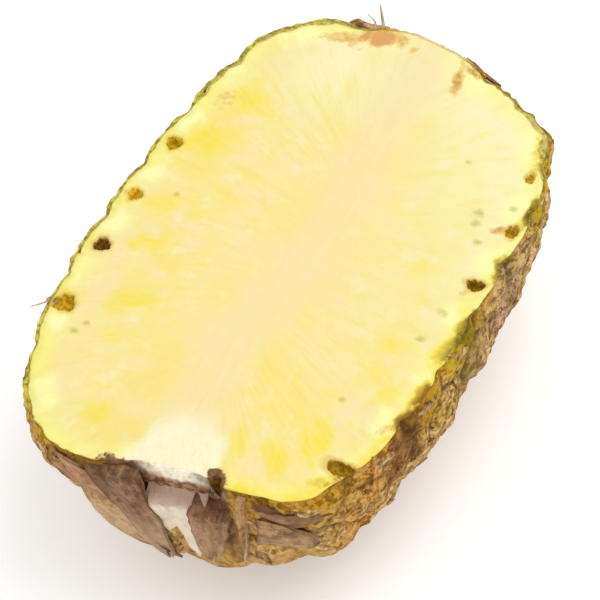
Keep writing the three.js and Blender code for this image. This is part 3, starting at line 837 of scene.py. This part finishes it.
def scale_material(name, shades, shaded_top):
    """Dry leathery scales with lengthwise fibres, painted shade near the cut and painted light and shade on
    their crumples. Each has its own tone along the shades.
    """
    s = Shader(name)
    at = s.at("scale_at", "Vector")
    tone, below = s.at("tone"), s.at("below_cut")
    fibre = s.streaks(at, (1.7, 0.14, 1), 4, 0.7)
    fine = s.streaks(at, (5.0, 0.3, 1), 2)
    streak = s.streaks(at, (0.5, 0.07, 1), 3, 0.6)
    patch = s.noise(s.place, 150, 4, 0.65)
    crumple = s.noise(s.place, 360, 4, 0.65)
    steps = len(shades) - 1
    s.color = shades[0]
    for i, shade in enumerate(shades[1:]):
        low = (i + 0.15) / steps
        s.coat(shade, (tone, low, low + 0.7 / steps))
    # a lighter and a darker copy of the scale's own colour: the colours of its streaks and fibres, and
    # painted light and shade on its crumples
    light = s.mix(0.5, s.color, (236, 202, 150))
    dark = s.mix(0.6, s.color, (56, 30, 6))

    # fibres, and crumples with painted light and shade, fainter on the palest and the darkest scales
    firm = s.times((tone, 0.85, 1.0, 1.0, 0.2), (tone, 0.2, 0.34, 0.5, 1.0))
    s.coat(light, (streak, 0.52, 0.64, 0, 0.4))
    s.coat(dark, firm, (streak, 0.48, 0.38, 0, 0.5))
    s.coat(light, (fibre, 0.54, 0.7, 0, 0.35))
    s.coat(dark, firm, (fibre, 0.46, 0.34, 0, 0.5))
    # painted shade and painted light of crumples that the surface has only as bump
    s.coat(dark, firm, (crumple, 0.48, 0.36, 0, 0.9))
    s.coat(light, firm, (crumple, 0.56, 0.68, 0, 0.6))
    # painted highlights: mauve patches on the scales
    s.coat((190, 140, 110), firm, (patch, 0.54, 0.64, 0, 0.5))
    s.coat(dark, firm, (patch, 0.46, 0.34, 0, 0.85))
    s.coat(dark, ("rim_share", 0.84, 1.0, 0, 0.5))
    s.coat((212, 182, 148), firm, (below, 14, 34, 0, 0.4))

    # painted shade near the cut: the brown scales darken and the palest turn mauve
    brown_ones = s.times((tone, 0.3, 0.38), (tone, 0.6, 0.52), shaded_top)
    darkened = s.mix((tone, 0.46, 0.41, 0.45, 0.8), s.color, (68, 32, 12))
    s.coat(darkened, (below, 20, 5), (patch, 0.4, 0.62, 1.0, 0.45), brown_ones)
    pale_ones = s.times((tone, 0.85, 0.95), shaded_top)
    s.coat((176, 136, 112), pale_ones, (s.plus(below, s.times(patch, 6)), 20, 14), 0.8)
    s.bump(s.plus(s.times(fibre, 0.6), s.times(fine, 0.3), s.times(crumple, 1.1), streak), 0.8, 0.9)
    return s.finish(s.span(fine, 0.3, 0.7, 0.5, 0.75), 0.3)


def eye_bract_material():
    """Small papery bracts, crusty like the rind but a little paler."""
    s = Shader("eye_bract")
    crust = mottle(s, [(90, 58, 22), (138, 98, 42), (168, 128, 74), (204, 162, 98), (224, 194, 140)])
    fibre = s.streaks(s.at("scale_at", "Vector"), (2.2, 0.25, 1))
    s.coat((70, 44, 12), (fibre, 0.46, 0.34, 0, 0.7))
    s.coat((98, 66, 22), ("tone", 0.45, 0.0, 0, 0.55))
    s.bump(s.plus(fibre, crust), 0.8, 0.7)
    return s.finish(0.7, 0.25)


# Patches of colour, as values at the vertices


def patch_share(patches, x, y, seed, grown=1.0):
    """Soft ragged patches, from 0 outside them to each one's depth."""
    places = columns_of(x, y, 0)
    ragged = 0.35 * noise(places, 4.0, seed) + 0.2 * noise(places, 1.8, seed + 1)
    share = np.zeros(len(x))
    for middle_x, middle_y, half_long, half_wide, turn, depth in patches:
        c, s = math.cos(math.radians(turn)), math.sin(math.radians(turn))
        long = ((x - middle_x) * c + (y - middle_y) * s) / (half_long * grown)
        wide = ((y - middle_y) * c - (x - middle_x) * s) / (half_wide * grown)
        share = np.maximum(share, depth * ramp(-np.hypot(long, wide) - ragged, -1.35, -0.3))
    return share


def named_patches(groups, x, y):
    return {name: patch_share(patches, x, y, seed) for name, (seed, patches) in groups.items()}


def olive_share(x, y, edge):
    """The olive stains, which spread along the rim."""
    stain = patch_share(OLIVE_STAINS, x, y, 48)
    spread = patch_share(OLIVE_STAINS, x, y, 50, 1.5) * ramp(-edge, -5.5, -0.5)
    return np.maximum(0.8 * stain, spread)


def speck_share(x, y):
    """Small green and brown specks in the flesh, with soft ragged edges."""
    share = np.zeros(len(x))
    ragged = 1 + 0.35 * noise(columns_of(x, y, 0), 1.1, 37)
    for speck_x, speck_y, size in SPECKS:
        r = np.hypot((x - speck_x) / 1.3, y - speck_y) / (size * ragged)
        share = np.maximum(share, ramp(-r, -1.3, -0.2))
    return share


def pith_share(x, y):
    """Where the white pith of the stalk runs into the core, with ragged soft edges."""
    places = columns_of(x, y, 0)
    ragged = 2.4 * noise(places * [1, 0.45, 1], 4.5, 35) + 1.0 * noise(places * [1, 0.4, 1], 1.4, 36)
    left, right = (np.interp(y, PITH.y, side) + ragged for side in (PITH.left, PITH.right))
    inside = ramp(np.minimum(x - left, right - x), -2.0, 4.0)
    return inside * ramp(-y + 1.6 * ragged, *PITH.fade)


def side_shades(x, y, edge):
    """How pale the flesh is, how yellow at the rim, how it glows there, and its olive line."""
    places = columns_of(x, y, 0)
    pale = ramp(PALE_SIDE.x * x + PALE_SIDE.y * y, PALE_SIDE.low, PALE_SIDE.high)
    by_crown = 0.85 * ramp(y, 34, 70) * ramp(x, -42, -22)
    near_stalk = ramp(-y, -RIM_YELLOW.from_y, -RIM_YELLOW.to_y) * ramp(x, 6, 28)
    wide = RIM_YELLOW.wide * (0.7 + 0.5 * noise(places, 7, 43))
    thick = SKIN.wide * (1 + 0.8 * noise(places, 5, 44) + 0.5 * noise(places, 1.6, 45))
    crown_left = SKIN.crown_left * ramp(y, 28, 55) * ramp(-x, 0, 25)
    crown_right = SKIN.crown_right * ramp(y, 50, 62) * ramp(x, 34, 42)
    thick = thick + crown_left * (0.7 + 0.6 * noise(places, 4, 46))
    thick = thick + crown_right * (0.8 + 0.5 * noise(places, 4, 47))
    skin = ramp(edge / np.maximum(thick, 0.15), 1.6, 0.4)
    skin *= 1 - 0.85 * ramp(x, 22, 36) * ramp(-y, -46, -30)
    glow = 0.85 * ramp(-edge + 0.8 * noise(places, 4, 48), -3.4, -0.4)
    return {
        "pale": np.maximum(pale, by_crown),
        "rim_yellow": near_stalk * ramp(-edge, -wide, -0.3 * wide),
        "skin": skin,
        "glow": glow * ramp(-x, 2, 18) * ramp(y, -86, -72),
    }


# The rind


def rind_values(smooth, outer, d, rise):
    """What the rind's material needs to know at each of its points."""
    x, y = smooth[:, 0], smooth[:, 1]
    tone = np.array([0.5 + 0.5 * draw(int(n) + 500) for n in EYES.n])

    def by_cut(deep, shallow, stray=0):
        return ramp(outer[:, 2] + stray, CUT_Z - deep, CUT_Z - shallow)

    values = named_patches(RIND_PATCHES, x, y)
    golden_end = 0.65 * ramp(-y, 64, 78) * ramp(x, 16, 24)
    values["golden"] = np.maximum(golden_end, values["golden"]) * by_cut(18, 11)
    green = patch_share(OLIVE_STAINS, x - 1, y, 68, 1.8)
    green = np.maximum(green, 0.9 * ramp(noise(smooth, 9, 71), 0.25, 0.6))
    lime = 0.9 * ramp(-x, 6, 26) * ramp(y, -84, -72)
    values.update({
        "border": d.border,
        "tone": tone[d.eye],
        "below_cut": CUT_Z - outer[:, 2],
        "outside": d.outside,
        "rise": rise,
        "green": green * by_cut(14, 5),
        "lime": lime * by_cut(5, 1.5, 2.5 * noise(smooth, 5, 72)),
        "at_stalk": d.at_stalk,
        "by_pith": ramp(x + noise(smooth, 3, 73), -7, -3),
        "end_tan": ramp(-y, 62, 80) * by_cut(12, 18),
    })
    return values


def make_rind():
    """The rind: a rough closed shell that ends in a thin rim at the cut."""
    along, down, inside = RIND_STEPS.along, RIND_STEPS.down, RIND_STEPS.inside
    start, ray = ray_fan(along, down)
    index, kept = folded_index(along, down)
    start, ray = start[kept], ray[kept]
    smooth = start + ray * reach_out(start, ray)[:, None]
    d = describe(smooth)
    form = relief(smooth, d)
    rise = form + roughness_of_rind(smooth, d)
    outer = smooth + ray * rise[:, None]
    outer[:, 2] = np.maximum(outer[:, 2], 0)
    outer[index[:, [0, -1]], 2] = CUT_Z

    # the inner face, on fewer rays from rim to rim
    picks = np.unique(np.round(np.linspace(0, 2 * down, 2 * inside + 1)).astype(int))
    inner_index = index[:, picks]
    inner_kept, inner_number = np.unique(inner_index, return_inverse=True)
    inner_number = inner_number.reshape(inner_index.shape) + len(outer)
    depth = form[inner_kept] - RIND_THICK
    below = CUT_Z - outer[inner_kept, 2]
    depth -= RIND_BELOW.thicker * ramp(below, RIND_BELOW.from_depth, RIND_BELOW.to_depth)
    inner = smooth[inner_kept] + ray[inner_kept] * depth[:, None]
    inner[np.isin(inner_kept, index[:, [0, -1]]), 2] = CUT_Z

    # the two faces, and the rim between them on either side
    quads = [grid_quads(index)[:, ::-1], grid_quads(inner_number)]
    for column, flip in ((0, False), (-1, True)):
        a, b = index[:-1, column], index[1:, column]
        c, e = inner_number[1:, column], inner_number[:-1, column]
        ring = np.stack([a, b, c, e], axis=1)
        quads.append(ring[:, ::-1] if flip else ring)
    vertices = np.concatenate([outer, inner])
    open_cavities(vertices)
    values = rind_values(smooth, outer, d, rise)
    attributes = {name: np.concatenate([v, v[inner_kept]]) for name, v in values.items()}
    attributes["rim_ring"] = np.concatenate([np.zeros(len(outer)), np.ones(len(inner))])
    piece = add_piece("rind", vertices, np.concatenate(quads), attributes, rind_material())
    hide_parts("half_pineapple")


# The flesh


def cavity_depth(x, y):
    """How deep the opened cavities are at places in the cut, how near is the nearest, and its tone."""
    depth, nearest, tone = np.zeros(len(x)), np.full(len(x), 9.0), np.zeros(len(x))
    for i, c in enumerate(CAVITIES):
        angle = np.arctan2(y - c.y, x - c.x)
        ragged = 1 + 0.10 * np.sin(3 * angle + i) + 0.06 * np.sin(7 * angle + 2 * i)
        r = np.hypot((x - c.x) / c.across, (y - c.y) / c.along) / ragged
        depth = np.maximum(depth, c.deep * np.sqrt(np.clip(1 - r * r, 0, 1)))
        tone = np.where(r < nearest, c.tone, tone)
        nearest = np.minimum(nearest, r + c.fainter)
    return depth, nearest, tone


def face_values(face, s, r, edge, cell_wave):
    """What the flesh's material needs to know at each point of the cut face, and its height."""
    x, y = face[:, 0], face[:, 1]
    pits, near_pit, pit_tone = cavity_depth(x, y)
    core = np.abs(x - np.interp(y, CORE.y, CORE.x)) / CORE.half
    cell = cell_wave * ramp(core, 1.2, 2.4)
    strand = columns_of(s, 0.10 * r, 0)
    height = FACE.fine * noise(strand, 1.5, 31) + FACE.coarse * noise(strand * [1, 1.6, 1], 4.0, 32)
    height = height * ramp(core, 0.8, 1.6) * ramp(edge, 0.2, 2.0)
    height = height - FACE.cell * cell * ramp(edge, 1, 5) * ramp(-edge, -22, -10)
    height = height + FACE.lumps * noise(face, 2.5, 33) + FACE.ridges * noise(face * [3, 0.4, 1], 1.5, 34)
    values = {
        "fibre": columns_of(s, r, 0),
        "edge": edge,
        "core": core,
        "cell": cell,
        "pit": near_pit,
        "pit_tone": pit_tone,
        "speck": speck_share(x, y),
        "olive": olive_share(x, y, edge),
        "stalkward": ramp(-y, 20, 34),
        "pith": pith_share(x, y),
    }
    values.update(named_patches(FLESH_PATCHES, x, y))
    values.update(side_shades(x, y, edge))
    return values, np.minimum(height, FACE.most) - pits


def flesh_below(origin, level, loop, number, base):
    """Rows of the flesh from the rim down to the keel, and their vertex numbers round the loop."""
    down = FLESH_STEPS.down
    rows, numbers = [], [number[:, -1]]
    for k, angle in enumerate(np.linspace(0, math.pi / 2, down + 1)[1:]):
        at_keel = k == down - 1
        kept = np.arange(FLESH_STEPS.along + 1) if at_keel else np.arange(len(loop))
        ray = level[kept] * math.cos(angle)
        ray[:, 2] -= math.sin(angle)
        smooth = origin[kept] + ray * reach_out(origin[kept], ray)[:, None]
        depth = FLESH_EDGE + FLESH_BELOW.keel_gap * math.sin(angle)
        form = relief(smooth, describe(smooth))
        rows.append(smooth + ray * (form - depth - FLESH_BELOW.gap)[:, None])
        numbers.append(base + (loop if at_keel else kept))
        base += len(kept)
    return rows, np.stack(numbers, axis=1)


def make_flesh():
    """The flesh: the cut face with its fibres and cavities, and the body of the fruit below."""
    along, out = FLESH_STEPS.along, FLESH_STEPS.out
    right, left, spine = rim_and_spine(along)
    loop = np.concatenate([np.arange(along + 1), np.arange(along - 1, 0, -1)])
    count = len(loop)
    on_right = np.arange(count) <= along
    rim_line = np.where(on_right[:, None], right[loop], left[loop])
    origin = spine[loop]
    level = unit(rim_line - origin)
    d = describe(rim_line)
    reach = np.linalg.norm(rim_line - origin, axis=1)
    reach = reach + relief(rim_line, d) - FLESH_EDGE
    share = np.linspace(0, 1, out + 1)[1:] ** FLESH_ROW_POWER
    face = (origin[:, None] + level[:, None] * (reach[:, None] * share[None])[..., None]).reshape(-1, 3)

    def outward(values):
        return np.repeat(values, out)

    r = (reach[:, None] * share[None]).ravel()
    phase = np.where(rim_line[:, 0] < 0, EYE.phase_y, RIGHT_PHASE_Y)
    wave = 0.5 + 0.5 * np.cos(2 * math.pi * (rim_line[:, 1] - phase) / EYE.pitch)
    values, height = face_values(face, outward(length_along(rim_line)), r, outward(reach) - r, outward(wave))
    values["skin"] = values["skin"] * outward(d.outside)
    face[:, 2] = CUT_Z - FLESH_SUNK + height

    # the face's grid starts at the spine, and the rows under the rim close it below
    spine_face = spine - [0, 0, FLESH_SUNK]
    number = np.arange(count * out).reshape(count, out)
    spine_number = count * out + np.arange(along + 1)
    table = np.concatenate([spine_number[loop][:, None], number], axis=1)
    rows, under = flesh_below(origin, level, loop, number, count * out + along + 1)
    quads = [grid_quads(np.concatenate([t, t[:1]]))[:, ::-1] for t in (table, under)]
    vertices = np.concatenate([face, spine_face] + rows)

    rest = len(vertices) - len(face)
    rest_values = {"edge": 30.0, "core": 2.0, "pit": 9.0}
    attributes = {}
    for name, v in values.items():
        filler = np.full((rest,) + v.shape[1:], rest_values.get(name, 0.0))
        attributes[name] = np.concatenate([v, filler])
    attributes["core"][spine_number] = 0.0
    add_piece("flesh", vertices, np.concatenate(quads), attributes, flesh_material())


# Dry scales at the two ends, and on the eyes


def end_surface(end, radius):
    """How far along the straight fruit its end lies, that far from the axis."""
    share = np.minimum(radius / BODY_RADIUS, END_ROUND) ** end.shape.across
    return WIDEST_Y + end.reach * (1 - share) ** (1 / end.shape.along)


class Leaves:
    """Closed leaves in one mesh. Each is laid out on the same grid, from its root to its tip."""

    def __init__(self, rows, columns):
        grid = np.meshgrid(np.linspace(0, 1, rows + 1), np.linspace(-1, 1, columns + 1), indexing="ij")
        self.along, self.across = (g.ravel() for g in grid)
        self.shape = (rows + 1, columns + 1)
        self.vertices, self.quads, self.at, self.tones = [], [], [], []

    def add(self, upper, lower, at, tone):
        """An upper and a lower sheet, joined round their edge."""
        base = 2 * len(self.along) * len(self.quads)
        top = base + np.arange(len(self.along)).reshape(self.shape)
        low = top + len(self.along)
        edge_a, edge_b = (np.concatenate([g[0], g[1:, -1], g[-1, -2::-1], g[-2:0:-1, 0]]) for g in (top, low))
        ring = np.stack([edge_a, np.roll(edge_a, -1), np.roll(edge_b, -1), edge_b], axis=1)
        self.quads.append(np.concatenate([grid_quads(top), grid_quads(low)[:, ::-1], ring[:, ::-1]]))
        self.vertices += [upper, lower]
        self.at += [at, at]
        self.tones.append(np.full(2 * len(at), tone))

    def piece(self, name, vertices, material, more_values):
        attributes = {"scale_at": np.concatenate(self.at), "tone": np.concatenate(self.tones)}
        attributes.update(more_values)
        return add_piece(name, vertices, np.concatenate(self.quads), attributes, material)


def end_scales(name, scales, end, rows, columns, seed, material):
    """Overlapping scales that lie on one end and point away from its middle."""
    leaves = Leaves(rows, columns)
    along, across = leaves.along, leaves.across
    for i, p in enumerate(scales):
        line = np.subtract(p.to, p.at).astype(float)
        length = np.linalg.norm(line)
        away = line / length
        aside = np.array([-away[1], away[0]]) * -end.outward
        jag = noise(columns_of(across * 3.5, i * 9.0, 0), 1.0, seed + 3)
        reach = along * (1 + SCALE_TORN.tip * jag * along ** 3)
        torn = noise(columns_of(along * 12, np.sign(across) * 3 + i * 9.0, 0), 1.0, seed)
        half = ((p.width / 2) * (1 - along ** 1.7) ** 0.6 + 0.6) * (1 + SCALE_TORN.side * torn)
        side = across * half + 4 * p.bow * end.outward * along * (1 - along)
        flat = np.array(p.at) + away * (reach * length)[:, None] + aside * side[:, None]
        flat[:, 0] += end.x
        wave = SCALE_WAVE * np.sin(3.1 * across + 5 * along + 1.7 * i)
        curl = p.lift * (0.25 + 0.75 * along) * (0.45 + 0.55 * across ** 2)
        ridge_at = columns_of(across * half, along * length * 0.12, i * 5.0)
        ridges = 0.28 * noise(ridge_at, 1.1, seed + 1) + 0.35 * noise(ridge_at * [1, 3, 1], 3.0, seed + 2)
        top = p.thick / 2 + curl + wave + ridges
        top = lerp(-SCALE_ROOT.sunk, top, ramp(along, 0, SCALE_ROOT.rise_over))
        to_tip = ramp(along + 0.35 * np.abs(across), 0.35, 0.95)
        thin = lerp(SCALE_ROOT.thick, SCALE_TIP_THICK, to_tip)
        surface = end_surface(end, np.hypot(flat[:, 0], flat[:, 1]))
        upper, lower = (
            bend(columns_of(flat[:, 0], surface + end.outward * stand, flat[:, 1]))
            for stand in (top, top - thin)
        )
        leaves.add(upper, lower, columns_of(across * half, along * length, i * SCALE_STEP), p.tone)
    vertices = np.concatenate(leaves.vertices)
    piece = leaves.piece(name, vertices, material, {
        "rim_share": np.tile(np.maximum(np.abs(across), along), 2 * len(scales)),
        "below_cut": CUT_Z - vertices[:, 2],
    })
    trim(piece, CUT_Z - SCALE_TRIM.below_cut, SCALE_TRIM.layer_gap)


def on_rind(points, outward):
    """Moves points along their outward directions onto the rind."""
    start = points - outward * STEP_BACK
    smooth = start + outward * reach_out(start, outward)[:, None]
    return smooth + outward * relief(smooth, describe(smooth))[:, None]


def eye_bracts(material):
    """The papery bract on each eye, sweeping to a dry tip that points to the crown."""
    leaves = Leaves(7, 6)
    along, across = leaves.along, leaves.across
    for i, middle in enumerate(EYES.middle):
        out = EYES.outward[i] * np.sign(np.dot(EYES.outward[i], middle - [0, middle[1], AXIS_HEIGHT]))
        p = straighten(middle[None])[0]
        scar = STALK_SCAR if p[1] < 0 else CROWN_SCAR
        by_scar = math.hypot(p[0] - scar.x, p[2]) < scar.radius + SCAR_CLEARANCE
        if middle[2] > CUT_Z + EYE_ABOVE_CUT or by_scar:
            continue
        seed = int(EYES.n[i])
        length = vary(EYE_BRACT.length, seed + 11)
        width = vary(EYE_BRACT.half, seed + 12)
        half = width * (1 - along ** 1.5) ** 0.8 * (0.75 + 0.5 * along * (1 - along)) + 0.12
        u = across * half + EYE_BRACT.skew * draw(seed + 13) * along ** 2
        v = EYE_BRACT.root + along * length
        flat = middle + EYES.across[i] * u[:, None] + EYES.onward[i] * v[:, None]
        on = on_rind(flat, np.tile(out, (len(flat), 1)))
        ripple = 0.22 * noise(columns_of(u, v * 0.3, seed * 3.0), 1.2, 41)
        lift = vary(EYE_BRACT.lift, seed + 14)
        stand = -0.3 + 0.6 * ramp(along, 0.0, 0.35) + lift * along ** 3
        stand = stand - 0.55 * across ** 2 * (1 - along) + ripple
        thin = 0.9 - 0.55 * along
        upper, lower = (on + out * h[:, None] for h in (stand, stand - thin))
        leaves.add(upper, lower, columns_of(u, v, seed * 7.0), 0.5 + 0.5 * draw(seed + 15))
    vertices = np.concatenate(leaves.vertices)
    vertices[:, 2] = np.maximum(vertices[:, 2], 0)
    trim(leaves.piece("eye_bracts", vertices, material, {}), CUT_Z - EYE_BRACT_TRIM)


def dry_strands(material):
    """Thin dry wisps at the crown end and by one eye: tapered tubes along short paths."""
    vertices, quads, at = [], [], []
    base = 0
    turn = 2 * math.pi * np.arange(STRAND_SIDES) / STRAND_SIDES
    for i, (path, start, end) in enumerate(STRANDS):
        path = np.array(path, float) + [0, 0, CUT_Z]
        knots = np.linspace(0, 1, len(path))
        along = np.linspace(0, 1, 3 * len(path))
        line = np.stack([np.interp(along, knots, path[:, k]) for k in range(3)], axis=1)
        ahead = unit(np.gradient(line, axis=0))
        aside = unit(np.cross(ahead, [0.3, 0.2, 1.0]))
        above = np.cross(aside, ahead) * STRAND_FLATNESS
        thick = lerp(start, end, along)[:, None, None]
        ring = aside[:, None] * np.cos(turn)[None, :, None] + above[:, None] * np.sin(turn)[None, :, None]
        vertices += [(line[:, None] + ring * thick).reshape(-1, 3), line[[0, -1]]]
        tip = base + len(along) * STRAND_SIDES
        index = np.arange(base, tip).reshape(-1, STRAND_SIDES)
        index = np.concatenate([index, index[:, :1]], axis=1)
        quads.append(grid_quads(index))
        for row, middle, flip in ((index[0], tip, True), (index[-1], tip + 1, False)):
            cap = columns_of(row[:-1], row[1:], middle, middle).astype(int)
            quads.append(cap[:, ::-1] if flip else cap)
        at += [np.tile([0.0, 0.0, i * 1.0], (len(along) * STRAND_SIDES, 1)), np.zeros((2, 3))]
        base = tip + 2
    vertices = np.concatenate(vertices)
    attributes = {
        "scale_at": np.concatenate(at),
        "tone": np.full(len(vertices), 0.5),
        "rim_share": np.zeros(len(vertices)),
        "below_cut": np.full(len(vertices), 20.0),
    }
    add_piece("dry_strands", vertices, np.concatenate(quads), attributes, material)


# The ground, the light and the camera

CAMERA = Values(azimuth=35, elevation=50, roll=10.5, distance=890.7, lens=186.3, sensor=36)
AIM = np.array([5.9, -10.2, CUT_Z - 10.0])  # in the fruit's frame
KEY_LIGHT = Values(at=(0.5, 0.3, 1.1), size=0.9, power=5)
GROUND_HALF = 3.0
WHITE = (1, 1, 1, 1)
SKY = 0.88
FLOOR_GLOW = 0.2


def add_camera():
    azimuth, elevation = math.radians(CAMERA.azimuth), math.radians(CAMERA.elevation)
    back = Vector((
        math.sin(azimuth) * math.cos(elevation),
        -math.cos(azimuth) * math.cos(elevation),
        math.sin(elevation),
    ))
    level = Vector((math.cos(azimuth), math.sin(azimuth), 0))
    up = back.cross(level)
    roll = math.radians(-CAMERA.roll)
    right = level * math.cos(roll) + up * math.sin(roll)
    up = back.cross(right)
    camera = add_object("camera", bpy.data.cameras.new("camera"))
    matrix = Matrix((right, up, back)).transposed().to_4x4()
    matrix.translation = Vector((AIM - MIDDLE) * MM) + back * CAMERA.distance * MM
    camera.matrix_world = matrix
    camera.data.lens = CAMERA.lens
    camera.data.sensor_width = CAMERA.sensor
    camera.data.clip_start = 0.01
    bpy.context.scene.camera = camera


def add_ground():
    mesh = bpy.data.meshes.new("ground")
    corners = [(GROUND_HALF * x, GROUND_HALF * y, 0) for x, y in ((-1, -1), (1, -1), (1, 1), (-1, 1))]
    mesh.from_pydata(corners, [], [(0, 1, 2, 3)])
    s = Shader("white_ground")
    s.color = s.mix(s.noise(s.place, 3, 2), (250, 250, 250), (247, 247, 247))
    s.set("Emission Color", WHITE)
    s.set("Emission Strength", FLOOR_GLOW)
    mesh.materials.append(s.finish(0.9, 0.1))
    add_object("ground", mesh)


def add_light():
    lamp = add_object("key", bpy.data.lights.new("key", "AREA"))
    lamp.data.size = KEY_LIGHT.size
    lamp.data.energy = KEY_LIGHT.power
    lamp.location = KEY_LIGHT.at
    lamp.rotation_euler = (-lamp.location).to_track_quat("-Z", "Y").to_euler()
    world = bpy.data.worlds.new("studio")
    world.use_nodes = True
    background = world.node_tree.nodes["Background"]
    background.inputs["Color"].default_value = WHITE
    background.inputs["Strength"].default_value = SKY
    bpy.context.scene.world = world
    bpy.context.scene.view_settings.view_transform = "Standard"


# From the darkest tone to the palest
BRACT_SHADES = [(98, 62, 26), (178, 128, 84), (146, 102, 62), (208, 162, 106), (247, 234, 210)]
LEAF_SHADES = [(150, 104, 60), (184, 134, 84), (208, 160, 108), (200, 162, 110)]
STRAND_SHADES = [(176, 146, 104), (206, 180, 136)]

make_rind()
make_flesh()
bract_material = scale_material("dry_bract", BRACT_SHADES, 1.0)
leaf_material = scale_material("leaf_base", LEAF_SHADES, 0.0)
end_scales("base_bracts", BRACTS, STALK_END, 36, 24, 51, bract_material)
end_scales("leaf_bases", LEAF_BASES, CROWN_END, 24, 16, 61, leaf_material)
eye_bracts(eye_bract_material())
dry_strands(scale_material("dry_strand", STRAND_SHADES, 0.0))
add_ground()
add_light()
add_camera()
